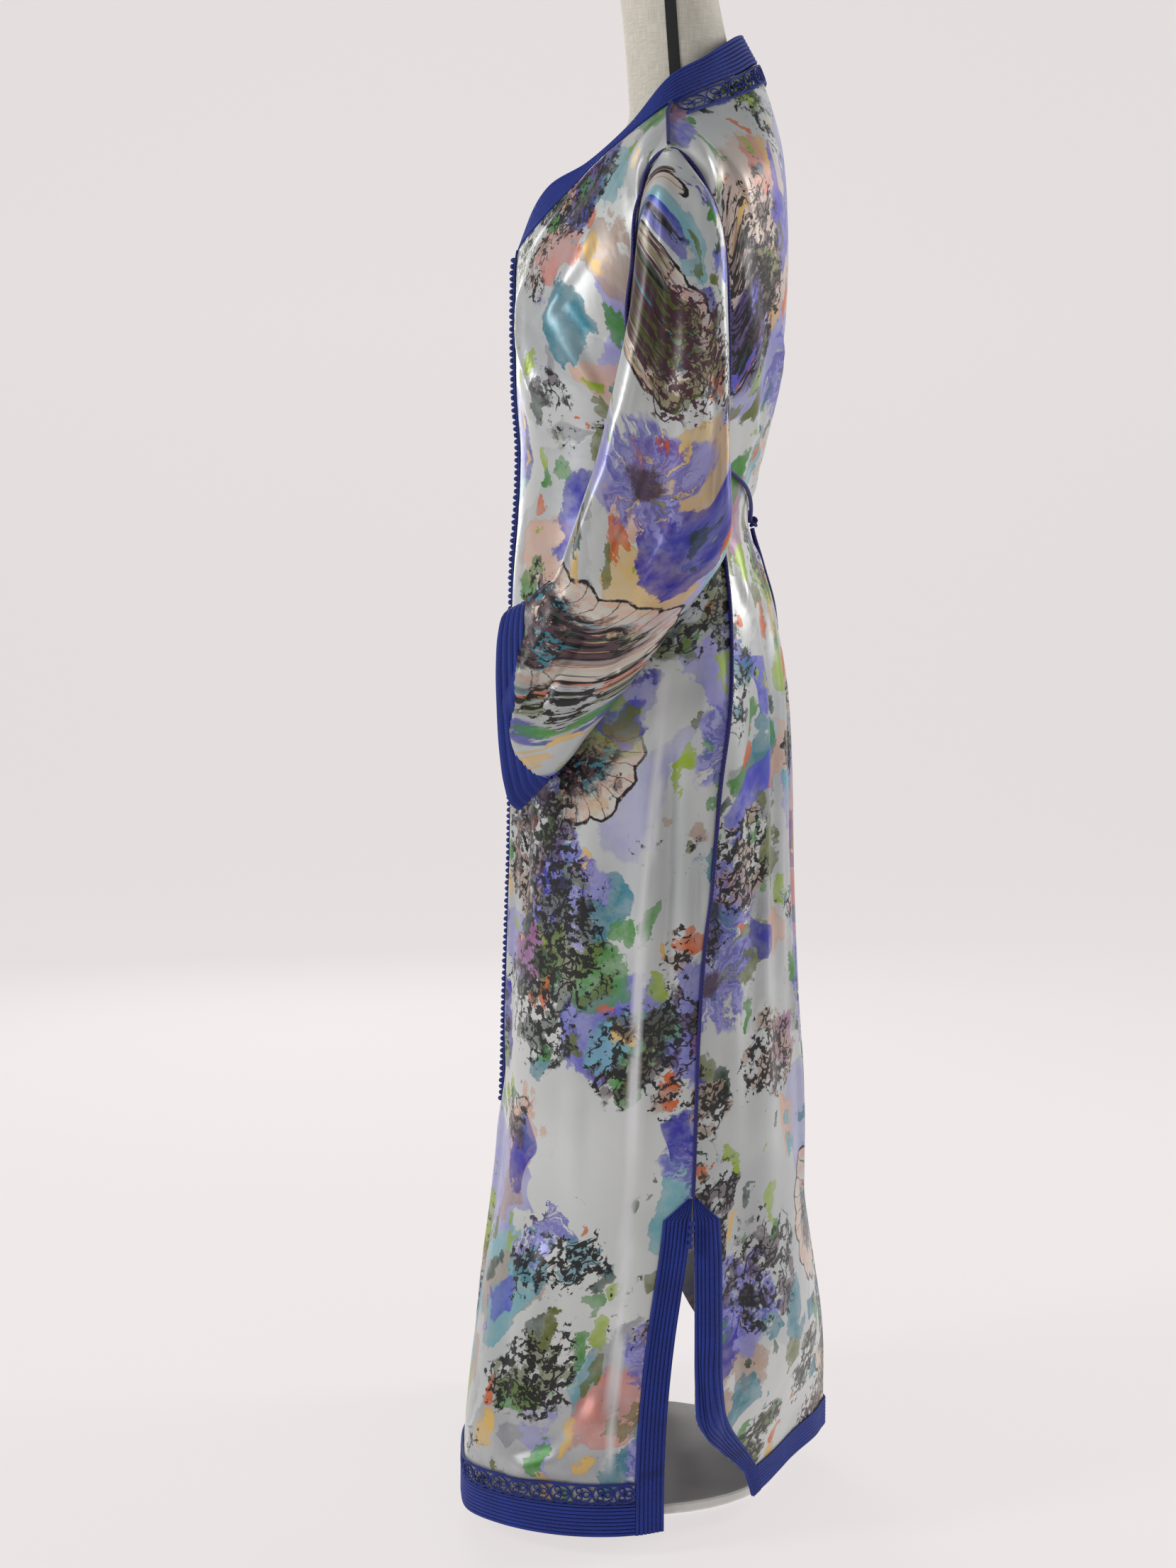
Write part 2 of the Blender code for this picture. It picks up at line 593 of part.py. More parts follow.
class Shell:
    """Vertices and triangles of one closed solid, turned round for a grid whose rows run the other way."""

    def __init__(self, outward):
        self.verts = []
        self.faces = []
        self.outward = outward

    def add_points(self, points):
        start = len(self.verts)
        self.verts.extend(points)
        return list(range(start, start + len(points)))

    def add(self, *corners):
        """A triangle, or a quad cut from its first corner."""
        for k in range(1, len(corners) - 1):
            face = (corners[0], corners[k], corners[k + 1])
            self.faces.append(face if self.outward > 0 else face[::-1])

    def build(self, name, finish):
        mesh = bpy.data.meshes.new(name)
        mesh.from_pydata([tuple(v) for v in self.verts], [], self.faces)
        return add_object(name, mesh, finish)


def add_object(name, data, finish):
    data.materials.append(MATERIALS[finish])
    thing = bpy.data.objects.new(name, data)
    PARTS.objects.link(thing)
    if isinstance(data, bpy.types.Mesh):
        data.shade_smooth()
        data.set_sharp_from_angle(angle=math.radians(50))
    return thing


def wall(name, finish, grid, inner, outer):
    """A closed wall between two distances from the grid's points."""
    shell = Shell(grid.outward)
    outside = [shell.add_points(row) for row in grid.moved(outer)]
    inside = [shell.add_points(row) for row in grid.moved(inner)]
    last_row = len(outside) - 1
    for i, j, k in grid.cells():
        corners = grid.corners(i, j, k)
        shell.add(*[outside[row][column] for row, column in corners])
        first, second, third, fourth = [inside[row][column] for row, column in corners]
        shell.add(first, fourth, third, second)
        if i == 0:
            shell.add(outside[0][k], outside[0][j], inside[0][j], inside[0][k])
        if i == last_row - 1:
            shell.add(outside[last_row][j], outside[last_row][k], inside[last_row][k], inside[last_row][j])
    if not grid.closed:
        for i in range(last_row):
            shell.add(outside[i][0], outside[i + 1][0], inside[i + 1][0], inside[i][0])
            shell.add(outside[i + 1][-1], outside[i][-1], inside[i][-1], inside[i + 1][-1])
    return shell.build(name, finish)


def lace(name, finish, grid, rings):
    """One row of cells as a wall, with a round hole cut through for each ring."""
    inner = CLOTH / 2 + LACE_GAP
    outer = inner + LACE
    shell = Shell(grid.outward)
    cells = [(j, k, ring / rings, (ring + 1) / rings) for _, j, k in grid.cells() for ring in range(rings)]
    stations = [rim_points(grid, j, k, low) for j, k, low, _ in cells]
    if not grid.closed:
        j, k, _, high = cells[-1]
        stations.append(rim_points(grid, j, k, high))
    rims = [[shell.add_points([p + n * d for p, n in station]) for d in (outer, inner)]
            for station in stations]
    for index, (j, k, low, high) in enumerate(cells):
        left, right = rims[index], rims[(index + 1) % len(rims)]
        holes = [shell.add_points([lace_point(grid, j, k, u, v, d) for u, v in hole_outline(low, high)])
                 for d in (outer, inner)]
        squares = [(left[n][0], right[n][0], right[n][1], left[n][1]) for n in (0, 1)]
        for square, hole, front in ((squares[0], holes[0], True), (squares[1], holes[1], False)):
            for triangle in ring_triangles(square, hole):
                shell.add(*(triangle if front else triangle[::-1]))
        for n in range(LACE_HOLE_SIDES):
            m = (n + 1) % LACE_HOLE_SIDES
            shell.add(holes[0][n], holes[0][m], holes[1][m], holes[1][n])
        shell.add(right[0][0], left[0][0], left[1][0], right[1][0])
        shell.add(left[0][1], right[0][1], right[1][1], left[1][1])
    if not grid.closed:
        first, last = rims[0], rims[-1]
        shell.add(first[0][0], first[0][1], first[1][1], first[1][0])
        shell.add(last[0][1], last[0][0], last[1][0], last[1][1])
    return shell.build(name, finish)


def rim_points(grid, j, k, u):
    """The lower and upper point of a lace strip at this share of a cell, with their normals."""
    return [(grid.points[i][j].lerp(grid.points[i][k], u), grid.normals[i][j].lerp(grid.normals[i][k], u))
            for i in (0, 1)]


def lace_point(grid, j, k, u, v, distance):
    (low, low_normal), (high, high_normal) = rim_points(grid, j, k, u)
    return low.lerp(high, v) + low_normal.lerp(high_normal, v) * distance


def hole_outline(low, high):
    """A hole's corners in shares of its cell, starting towards the cell's first corner."""
    turns = [math.radians(225) + 2 * math.pi * n / LACE_HOLE_SIDES for n in range(LACE_HOLE_SIDES)]
    return [((low + high) / 2 + (high - low) * LACE_HOLE_SHARE * math.cos(turn),
             0.5 + LACE_HOLE_SHARE * math.sin(turn)) for turn in turns]


def ring_triangles(square, hole):
    """Triangles between a square and the hole in it, walking round both."""
    triangles = []
    i, j = 0, 0
    while i < len(square) or j < len(hole):
        if (i + 1) / len(square) <= (j + 1) / len(hole):
            triangles.append((square[i], square[(i + 1) % len(square)], hole[j % len(hole)]))
            i += 1
        else:
            triangles.append((square[i % len(square)], hole[(j + 1) % len(hole)], hole[j]))
            j += 1
    return triangles


def tube(name, finish, points, radius, closed=False):
    """A round cord: a curve with a bevel and filled caps."""
    curve = bpy.data.curves.new(name, "CURVE")
    curve.dimensions = "3D"
    curve.bevel_depth = radius
    curve.bevel_resolution = 1
    curve.use_fill_caps = True
    spline = curve.splines.new("POLY")
    spline.points.add(len(points) - 1)
    for slot, point in zip(spline.points, points):
        slot.co = (*point, 1)
    spline.use_cyclic_u = closed
    return add_object(name, curve, finish)


def bead_chain(name, finish, centres, outward):
    """A row of small knots fused end to end: a wide ring at each knot and a narrow one between knots."""
    shell = Shell(1)
    rings = []
    half = BUTTON_PITCH / 2
    for n, centre in enumerate(centres):
        following = centres[n + 1] if n + 1 < len(centres) else centre + (centre - centres[n - 1])
        if n == 0:
            before = centre - (following - centre)
            rings.append(bead_ring(shell, centre.lerp(before, 0.5), BUTTON_NECK, outward))
        rings.append(bead_ring(shell, centre, BUTTON_RADIUS, outward))
        rings.append(bead_ring(shell, centre.lerp(following, 0.5), BUTTON_NECK, outward))
    for above, below in zip(rings, rings[1:]):
        for k in range(BUTTON_SIDES):
            m = (k + 1) % BUTTON_SIDES
            shell.add(above[k], below[k], below[m], above[m])
    shell.add(*rings[0])
    shell.add(*rings[-1][::-1])
    return shell.build(name, finish)


def bead_ring(shell, centre, radius, outward):
    """A level ring whose first corner points outward."""
    start = math.atan2(outward.y, outward.x)
    turns = [start + 2 * math.pi * k / BUTTON_SIDES for k in range(BUTTON_SIDES)]
    return shell.add_points([centre + Vector((radius * math.cos(t), radius * math.sin(t), 0)) for t in turns])


def side_name(word, side):
    return f"{word}_{'left' if side > 0 else 'right'}"


# Cut panels

def body_grids():
    """Grids of the two fronts and the back. Along the seams the panels share their normals."""
    fronts = {}
    halves = {}
    for side, scale in ((1, LEFT_FOLDS), (-1, RIGHT_FOLDS)):
        front, back = FRONT_PANEL.rows(scale), BACK_PANEL.rows(scale)
        for row in front:
            row[0].x = SEAM_GAP / 2
        for row in back:
            row[0].x = 0.0
        fronts[side] = Grid(front if side > 0 else mirrored(front), side)
        halves[side] = back if side > 0 else mirrored(back)
    middle = [(a[0] + b[0]) / 2 for a, b in zip(halves[1], halves[-1])]
    back = Grid([a[:0:-1] + [m] + b[1:] for a, m, b in zip(halves[1], middle, halves[-1])], 1)
    for side, front in fronts.items():
        join_seams(front, back, side)
    return fronts, back


def join_seams(front, back, side):
    """One normal along the side seam, and the ridge's own normal along the shoulder."""
    last = len(front.points[0]) - 1
    edge = back_column(back, side, 0)
    for i in range(SLIT_TOP_ROW, UNDERARM_ROW + 1):
        share_normals(front, i, last, back, i, edge)
    seam = Vector(SHOULDER_TIP) - Vector(NECK_CORNER)
    ridge = Vector((-seam.z * side, 0, seam.x)).normalized()
    for j in range(NECK_COLUMN["front"], last + 1):
        front.normals[-1][j] = ridge.copy()
    for step in range(EVEN_COLUMNS + 1 - NECK_COLUMN["back"] + 1):
        back.normals[-1][back_column(back, side, step)] = ridge.copy()


def back_column(back, side, steps_from_side):
    """The back grid's column this many steps in from the left or the right side."""
    last = len(back.points[0]) - 1
    return steps_from_side if side > 0 else last - steps_from_side


def make_panels(fronts, back):
    half = CLOTH / 2
    for side, front in fronts.items():
        cut = front.trimmed(top=SEAM_GAP / 2, end=SEAM_GAP / 2)
        wall(side_name("front", side), "satin", cut, -half, half)
    cut = back.trimmed(top=SEAM_GAP / 2, start=SEAM_GAP / 2, end=SEAM_GAP / 2)
    wall("back", "satin", cut, -half, half)


# Trims that lie on the panels

def make_front_trims(side, front):
    """Centre strip, hem band, hem lace and slit band of one front."""
    last = len(front.points[0]) - 1
    low, high = CLOTH / 2 + LAY_GAP, CLOTH / 2 + LAY_GAP + BRAID
    top = len(front.points) - 1
    strip = front.block((0, top), (0, 1)).trimmed(top=SEAM_GAP, start=BUTTON_RADIUS + LAY_GAP)
    wall(side_name("front_strip", side), "braid", strip, low, high)
    hem = front.block((0, 1), (1, last - 1)).trimmed(start=SEAM_GAP, end=SEAM_GAP)
    wall(side_name("front_hem_band", side), "braid", hem, low, high)
    rings = front.block((1, 2), (1, last - 1)).trimmed(bottom=SEAM_GAP, start=SEAM_GAP, end=SEAM_GAP)
    lace(side_name("front_hem_lace", side), "braid", rings, HEM_RINGS)
    slit = front.block((0, SLIT_TOP_ROW), (last - 1, last)).trimmed(end=SEAM_GAP)
    slit.points[-1][0] = towards(slit.points[-1][1], slit.points[-1][0], SLIT_BAND_TIP)
    wall(side_name("front_slit_band", side), "braid", slit, low, high)


def make_back_trims(back):
    """Hem band, slit bands and neck lace of the back."""
    last = len(back.points[0]) - 1
    low, high = CLOTH / 2 + LAY_GAP, CLOTH / 2 + LAY_GAP + BRAID
    hem = back.block((0, 1), (1, last - 1)).trimmed(start=SEAM_GAP, end=SEAM_GAP)
    wall("back_hem_band", "braid", hem, low, high)
    for side in (1, -1):
        columns = (0, 1) if side > 0 else (last - 1, last)
        edge = {"start" if side > 0 else "end": SEAM_GAP}
        slit = back.block((0, SLIT_TOP_ROW), columns).trimmed(**edge)
        at_edge, inside = (0, 1) if side > 0 else (1, 0)
        slit.points[-1][inside] = towards(slit.points[-1][at_edge], slit.points[-1][inside], SLIT_BAND_TIP)
        wall(side_name("back_slit_band", side), "braid", slit, low, high)
    top = len(back.points) - 1
    neck = (last // 2 - NECK_COLUMN["back"], last // 2 + NECK_COLUMN["back"])
    rings = back.block((top - 1, top), neck).trimmed(top=SEAM_GAP, start=LACE_END_GAP, end=LACE_END_GAP)
    lace("back_neck_lace", "braid", rings, NECK_RINGS)


def make_neck_band(fronts, back):
    """One band from the left centre front round the neck to the right centre front."""
    half = (len(back.points[0]) - 1) // 2
    lower, upper, seams = [], [], []
    for side in (1, -1):
        front = fronts[side]
        seam = [(front, j) for j in range(NECK_COLUMN["front"] + 1)]
        seam += [(back, half - side * j) for j in range(NECK_COLUMN["back"] - 1, -1, -1)]
        edge = [grid.points[-1][j] for grid, j in seam]
        rim = rim_for(edge, side)
        if side < 0:
            edge, rim, seam = edge[-2::-1], rim[-2::-1], seam[-2::-1]
        lower, upper, seams = lower + edge, upper + rim, seams + seam
    band = Grid([[p.copy() for p in lower], upper], 1)
    for j, (grid, column) in enumerate(seams):
        band.normals[0][j] = (band.normals[0][j] + grid.normals[-1][column]).normalized()
    cut = band.trimmed(bottom=NECK_BAND_GAP, start=SEAM_GAP, end=SEAM_GAP)
    wall("neck_band", "braid", cut, -CLOTH / 2, BRAID)


def rim_for(edge, side):
    """The rim's points above the neck seam's points, front part and back part by their share of length."""
    corner = NECK_COLUMN["front"]
    lengths = [0.0]
    for a, b in zip(edge, edge[1:]):
        lengths.append(lengths[-1] + (b - a).length)
    front, back = Path(FRONT_RIM), Path(BACK_RIM)
    rim = []
    for j, length in enumerate(lengths):
        if j <= corner:
            point = front(length / lengths[corner])
        else:
            point = back((lengths[-1] - length) / (lengths[-1] - lengths[corner]))
        rim.append(Vector((point.x * side, point.y, point.z)))
    return rim


# Sleeves

def armhole_loop(side, front, back):
    """The armhole's points from the underarm up the front edge, over the shoulder and down the back edge."""
    last = len(front.points[0]) - 1
    edge = back_column(back, side, 0)
    rows = range(UNDERARM_ROW, len(front.points))
    loop = [(front.points[i][last], front.normals[i][last]) for i in rows]
    return loop + [(back.points[i][edge], back.normals[i][edge]) for i in reversed(rows[1:-1])]


def into_armhole(loop, k):
    """Square to the armhole's edge in the YZ plane, towards its middle."""
    along = loop[(k + 1) % len(loop)][0] - loop[k - 1][0]
    return Vector((0, along.z, -along.y)).normalized()


def sleeve_grid(side, loop):
    """Rings of points from the armhole down to the cuff."""
    rings = [[point + into_armhole(loop, k) * ARMHOLE_INSET for k, (point, _) in enumerate(loop)]]
    for ring in SLEEVE:
        rings.append([sleeve_point(ring, 2 * math.pi * k / SLEEVE_POINTS, side)
                      for k in range(SLEEVE_POINTS)])
    return Grid(rings, -side, closed=True)


def sleeve_point(ring, turn, side):
    """Turn 0 is the inner face, a quarter the front edge, a half the outer face."""
    front = Vector(((ring.inner_x + ring.outer_x) / 2, ring.front_y, ring.front_z))
    back = Vector((front.x, ring.back_y, ring.back_z))
    centre = (front + back) / 2
    across = math.copysign(abs(math.sin(turn)) ** (2 / SLEEVE_SQUARE), math.sin(turn))
    outward = math.copysign(abs(math.cos(turn)) ** (2 / SLEEVE_SQUARE), -math.cos(turn))
    point = centre + (front - centre) * across
    if outward > 0:
        point += Vector((ring.outer_x - centre.x, 0, ring.rise)) * outward
        point.x += ring.fold * max(math.sin(2 * turn - math.pi), 0.0)
        point.y -= ring.bow * outward
    else:
        point -= Vector((ring.inner_x - centre.x, 0, -ring.drop)) * outward
    return Vector((point.x * side, point.y, point.z))


def make_sleeve(side, loop):
    grid = sleeve_grid(side, loop)
    wall(side_name("sleeve", side), "satin", grid, -CLOTH / 2, CLOTH / 2)
    last = len(grid.points) - 1
    low, high = CLOTH / 2 + LAY_GAP, CLOTH / 2 + LAY_GAP + BRAID
    wall(side_name("cuff_band", side), "braid", grid.rows_between(last - 1, last), low, high)
    rings = grid.rows_between(last - 2, last - 1).trimmed(top=CUFF_LACE_GAP)
    lace(side_name("cuff_lace", side), "braid", rings, CUFF_RINGS)


# Piping, buttons and ties

def make_piping(side, front, loop, cloth):
    """Cords on the side seam, the shoulder seam and round the armhole."""
    lift = CLOTH / 2 + LAY_GAP + PIPING_RADIUS
    bridging = lift + ARMHOLE_BRIDGING
    last = len(front.points[0]) - 1
    outer = front.moved(lift)
    seam = [outer[i][last] for i in range(SLIT_TOP_ROW, UNDERARM_ROW)]
    seam[0] = towards(seam[0], seam[1], SEAM_PIPING_START)
    seam.append(towards(outer[UNDERARM_ROW][last], seam[-1], PIPING_INSET + PIPING_CLEARANCE))
    tube(side_name("side_piping", side), "piping", seam, PIPING_RADIUS)
    tube(side_name("armhole_piping", side), "piping", armhole_cord(cloth, loop, bridging), PIPING_RADIUS,
         closed=True)
    corner, tip = outer[-1][NECK_COLUMN["front"]], outer[-1][last]
    ends = [towards(corner, tip, PIPING_CLEARANCE), towards(tip, corner, PIPING_INSET + PIPING_CLEARANCE)]
    tube(side_name("shoulder_piping", side), "piping", ends, PIPING_RADIUS)


def armhole_cord(cloth, loop, lift):
    """The armhole's points, and those halfway between them, moved onto the panels."""
    route = []
    for k, (point, normal) in enumerate(loop):
        after = (k + 1) % len(loop)
        for share in (0.0, 0.5):
            out = normal.lerp(loop[after][1], share).normalized()
            away = -into_armhole(loop, k).lerp(into_armhole(loop, after), share)
            along = (away - out * away.dot(out)).normalized()
            spot = point.lerp(loop[after][0], share) + along * PIPING_INSET + out * lift
            route.append(cloth.lay(spot, lift))
    return route


def make_buttons(front):
    """The knots stand on the edges of the two fronts, between their strips."""
    lift = CLOTH / 2 + LAY_GAP + BUTTON_RADIUS
    centres = []
    for n in range(BUTTON_COUNT):
        point = front.on_column(0, BUTTON_TOP - n * BUTTON_PITCH, 0.0)
        centres.append(Vector((0, point.y - lift, point.z)))
    bead_chain("front_buttons", "braid", centres, Vector((0, -1, 0)))


def make_slit_knots(side, front):
    """Knots that close the top of a side slit."""
    last = len(front.points[0]) - 1
    lift = CLOTH / 2 + LAY_GAP + BRAID + LAY_GAP + BUTTON_RADIUS
    centres = [front.on_column(last, SLIT_KNOT_TOP - n * SLIT_KNOT_PITCH, lift) for n in range(SLIT_KNOTS)]
    bead_chain(side_name("slit_knots", side), "braid", centres, Vector((side, 0, 0)))


def make_waist_tie(back, cloth):
    """Two cords from the side seams to a knot at the centre back, and the knot's two hanging ends."""
    middle = (len(back.points[0]) - 1) // 2
    lift = CLOTH / 2 + LACE_GAP + TIE_RADIUS
    for side in (1, -1):
        route = []
        for step in range(middle):
            z = TIE_SIDE_LEVEL + (TIE_KNOT_LEVEL - TIE_SIDE_LEVEL) * step / middle
            route.append(back.on_column(back_column(back, side, step), z, lift))
        knot_side = back.on_column(middle, TIE_KNOT_LEVEL, lift)
        knot_side.x = side * (TIE_KNOT_RADIUS + LAY_GAP)
        route[0] = towards(route[0], route[1], PIPING_CLEARANCE)
        route.append(knot_side)
        halfway = [a.lerp(b, 0.5) for a, b in zip(route, route[1:])]
        route = [cloth.lay(point, lift) for pair in zip(route, halfway) for point in pair] + [knot_side]
        tube(side_name("waist_tie", side), "piping", route, TIE_RADIUS)
    centre = back.on_column(middle, TIE_KNOT_LEVEL, CLOTH / 2 + LAY_GAP + TIE_KNOT_RADIUS)
    bpy.ops.mesh.primitive_uv_sphere_add(segments=12, ring_count=8, radius=TIE_KNOT_RADIUS, location=centre)
    adopt(bpy.context.active_object, "waist_tie_knot", "piping")
    for end in TIE_ENDS:
        route = []
        top = TIE_KNOT_LEVEL - TIE_KNOT_RADIUS - LAY_GAP
        for k in range(TIE_END_POINTS):
            share = k / (TIE_END_POINTS - 1)
            point = back.on_column(middle, top + (end.bottom - top) * share, lift + TIE_END_GAP)
            point.x = end.side * (end.start_x + (end.end_x - end.start_x) * share)
            route.append(point)
        tube(end.name, "piping", route, TIE_RADIUS)


def adopt(thing, name, finish):
    """A primitive takes its name, its material and its place in the parts' collection."""
    thing.name = name
    thing.data.name = name
    thing.data.materials.append(MATERIALS[finish])
    for group in thing.users_collection:
        group.objects.unlink(thing)
    PARTS.objects.link(thing)
    thing.data.shade_smooth()
    thing.data.set_sharp_from_angle(angle=math.radians(50))
    return thing


# Dress form and stand

def make_form():
    """Torso and neck as one smooth closed body, from rings inside the cloth and the neck's own rings."""
    rings = []
    for level in FORM_TORSO:
        turns = [2 * math.pi * k / FORM_SIDES for k in range(FORM_SIDES)]
        rings.append([torso_point(turn, level) for turn in turns])
    for ring in FORM_NECK:
        rings.append([neck_point(ring, 2 * math.pi * k / FORM_SIDES) for k in range(FORM_SIDES)])
    for _ in range(FORM_SOFTENING):
        rings = [[(ring[k - 1] + ring[k] * 2 + ring[(k + 1) % FORM_SIDES]) / 4 for k in range(FORM_SIDES)]
                 for ring in rings]
    shell = Shell(1)
    loops = [shell.add_points(ring) for ring in rings]
    for low, high in zip(loops, loops[1:]):
        for k in range(FORM_SIDES):
            m = (k + 1) % FORM_SIDES
            shell.add(low[k], low[m], high[m], high[k])
    shell.add(*loops[0][::-1])
    shell.add(*loops[-1])
    shell.build("dress_form", "linen")


def torso_point(turn, level):
    """A point inside the cloth. Past the centre back the left side's points are mirrored to the right."""
    point = body_point(min(turn, 2 * math.pi - turn), level.z, level.inset)
    return Vector((point.x if turn <= math.pi else -point.x, point.y, point.z))


def neck_point(ring, turn):
    middle = (ring.front + ring.back) / 2
    reach = (ring.back - ring.front) / 2
    return Vector((ring.half_width * math.sin(turn), middle - reach * math.cos(turn), ring.z))


def make_stand():
    """A plain pole on a round base."""
    bpy.ops.mesh.primitive_cylinder_add(vertices=BASE_SIDES, radius=BASE_RADIUS, depth=BASE_HEIGHT,
                                        location=(0, 0, BASE_HEIGHT / 2))
    base = adopt(bpy.context.active_object, "base", "base")
    bevel = base.modifiers.new("rounded rim", "BEVEL")
    bevel.width = BASE_BEVEL
    bevel.segments = 2
    bevel.limit_method = "ANGLE"
    bottom, top = BASE_HEIGHT + LAY_GAP, FORM_TORSO[0].z - LAY_GAP
    bpy.ops.mesh.primitive_cylinder_add(vertices=POLE_SIDES, radius=POLE_RADIUS, depth=top - bottom,
                                        location=(0, 0, (bottom + top) / 2))
    adopt(bpy.context.active_object, "pole", "steel")


def make_materials():
    for name, finish in FINISHES.items():
        material = bpy.data.materials.new(name)
        material.use_nodes = True
        surface = material.node_tree.nodes["Principled BSDF"]
        surface.inputs["Base Color"].default_value = (*finish.colour, 1)
        surface.inputs["Roughness"].default_value = finish.roughness
        surface.inputs["Metallic"].default_value = finish.metallic
        MATERIALS[name] = material


def main():
    make_materials()
    fronts, back = body_grids()
    cloth = Cloth([fronts[1], fronts[-1], back])
    make_panels(fronts, back)
    make_back_trims(back)
    make_neck_band(fronts, back)
    for side, front in fronts.items():
        make_front_trims(side, front)
        loop = armhole_loop(side, front, back)
        make_sleeve(side, loop)
        make_piping(side, front, loop, cloth)
        make_slit_knots(side, front)
    make_buttons(fronts[1])
    make_waist_tie(back, cloth)
    make_form()
    make_stand()


for old in list(bpy.data.objects):
    bpy.data.objects.remove(old, do_unlink=True)
MATERIALS = {}
PARTS = bpy.data.collections.new("kaftan_on_dress_form")
bpy.context.scene.collection.children.link(PARTS)
main()
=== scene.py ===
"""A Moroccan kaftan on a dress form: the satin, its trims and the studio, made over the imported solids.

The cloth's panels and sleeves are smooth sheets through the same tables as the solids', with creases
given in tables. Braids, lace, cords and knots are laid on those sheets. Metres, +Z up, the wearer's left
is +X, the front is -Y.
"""
import math
from collections import namedtuple
from functools import lru_cache

import bpy
import numpy
from bpy.props import FloatProperty, FloatVectorProperty, IntProperty, PointerProperty
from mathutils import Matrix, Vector


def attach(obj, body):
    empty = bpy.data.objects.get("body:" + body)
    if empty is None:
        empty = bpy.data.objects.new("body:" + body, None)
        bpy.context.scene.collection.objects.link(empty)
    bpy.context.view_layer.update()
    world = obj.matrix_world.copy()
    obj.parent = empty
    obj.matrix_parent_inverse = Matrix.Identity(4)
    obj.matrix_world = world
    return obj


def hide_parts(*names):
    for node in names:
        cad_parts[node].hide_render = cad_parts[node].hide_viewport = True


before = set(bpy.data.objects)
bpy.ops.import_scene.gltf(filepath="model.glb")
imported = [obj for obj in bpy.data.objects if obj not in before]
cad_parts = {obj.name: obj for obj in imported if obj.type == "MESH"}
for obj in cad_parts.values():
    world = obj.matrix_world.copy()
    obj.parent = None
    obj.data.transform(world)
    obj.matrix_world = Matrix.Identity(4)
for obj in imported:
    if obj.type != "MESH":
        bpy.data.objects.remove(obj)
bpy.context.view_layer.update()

bl_info = {
    "name": "Moroccan kaftan",
    "version": (1, 0, 0),
    "blender": (4, 5, 0),
    "location": "3D View > Sidebar > Kaftan",
    "description": "Builds a printed satin kaftan with braid, lace and knots on a dress form",
    "category": "Object",
}


# Cloth and trim thicknesses, and the gaps at seams and under trims
CLOTH = 0.0012
SEAM_GAP = 0.0004
LAY_GAP = 0.0004
BRAID = 0.002
LACE_GAP = 0.0008

# Widths of trims
FRONT_STRIP = 0.009
SLIT_BAND = 0.025
SLIT_BAND_TIP = 0.004
HEM_BAND = 0.028
HEM_LACE = 0.022
PIPING_RADIUS = 0.0013
PIPING_INSET = 0.003
PIPING_CLEARANCE = 0.004
ARMHOLE_BRIDGING = 0.0016
NECK_BAND_GAP = 0.001
LACE_END_GAP = 0.003
CUFF_LACE_GAP = 0.0015
SEAM_PIPING_START = 0.002

# Buttons down the centre front
BUTTON_COUNT = 138
BUTTON_TOP = 1.231
BUTTON_PITCH = 0.0062
BUTTON_RADIUS = 0.003

# Levels of the garment
SLIT_OPEN = 0.283
SLIT_SHOULDER = 0.312
SLIT_TOP = 0.332
UNDERARM = 1.05
SHOULDER_TIP = (0.185, 0.0195, 1.3024)
NECK_CORNER = (0.088, 0.0216, 1.362)
BAND_MEETS_FRONT = 1.236

# Body sections, from the hem up: widest half width, front, middle and back in Y, and how square each half is
Section = namedtuple("Section", "z half_width front middle back front_power back_power")
SECTIONS = tuple(Section(*row) for row in (
    (0.01, 0.236, -0.16, 0.02, 0.19, 2.6, 2.2),
    (0.1, 0.232, -0.158, 0.02, 0.191, 2.6, 2.2),
    (0.2, 0.222, -0.152, 0.02, 0.175, 2.6, 2.2),
    (0.3, 0.213, -0.143, 0.02, 0.166, 2.5, 2.3),
    (0.382, 0.207, -0.139, 0.02, 0.163, 2.5, 2.3),
    (0.463, 0.202, -0.137, 0.02, 0.156, 2.4, 2.3),
    (0.545, 0.198, -0.134, 0.02, 0.15, 2.4, 2.3),
    (0.625, 0.194, -0.131, 0.02, 0.146, 2.4, 2.3),
    (0.745, 0.189, -0.129, 0.02, 0.143, 2.4, 2.3),
    (0.817, 0.184, -0.128, 0.02, 0.138, 2.4, 2.3),
    (0.88, 0.174, -0.128, 0.02, 0.13, 2.3, 2.2),
    (0.936, 0.162, -0.127, 0.018, 0.115, 2.3, 2.2),
    (0.972, 0.155, -0.124, 0.015, 0.106, 2.3, 2.1),
    (1.038, 0.157, -0.121, 0.018, 0.118, 2.3, 2.1),
    (1.1, 0.163, -0.125, 0.024, 0.131, 2.3, 2.2),
    (1.163, 0.168, -0.126, 0.028, 0.141, 2.3, 2.2),
    (1.225, 0.174, -0.125, 0.028, 0.144, 1.8, 2.2),
    (1.25, 0.178, -0.121, 0.026, 0.144, 1.45, 2.1),
    (1.271, 0.181, -0.112, 0.024, 0.144, 1.25, 2.0),
    (1.3024, 0.185, -0.092, 0.0195, 0.143, 1.12, 1.9),
    (1.338, 0.1271, -0.047, 0.0207, 0.139, 1.25, 1.9),
    (1.362, 0.088, -0.032, 0.0216, 0.134, 1.5, 1.9),
    (1.378, 0.082, -0.025, 0.027, 0.1295, 1.7, 2.0),
    (1.404, 0.07, -0.022, 0.03, 0.12, 1.9, 2.0),
    (1.43, 0.062, -0.02, 0.03, 0.11, 2.0, 2.0),
))

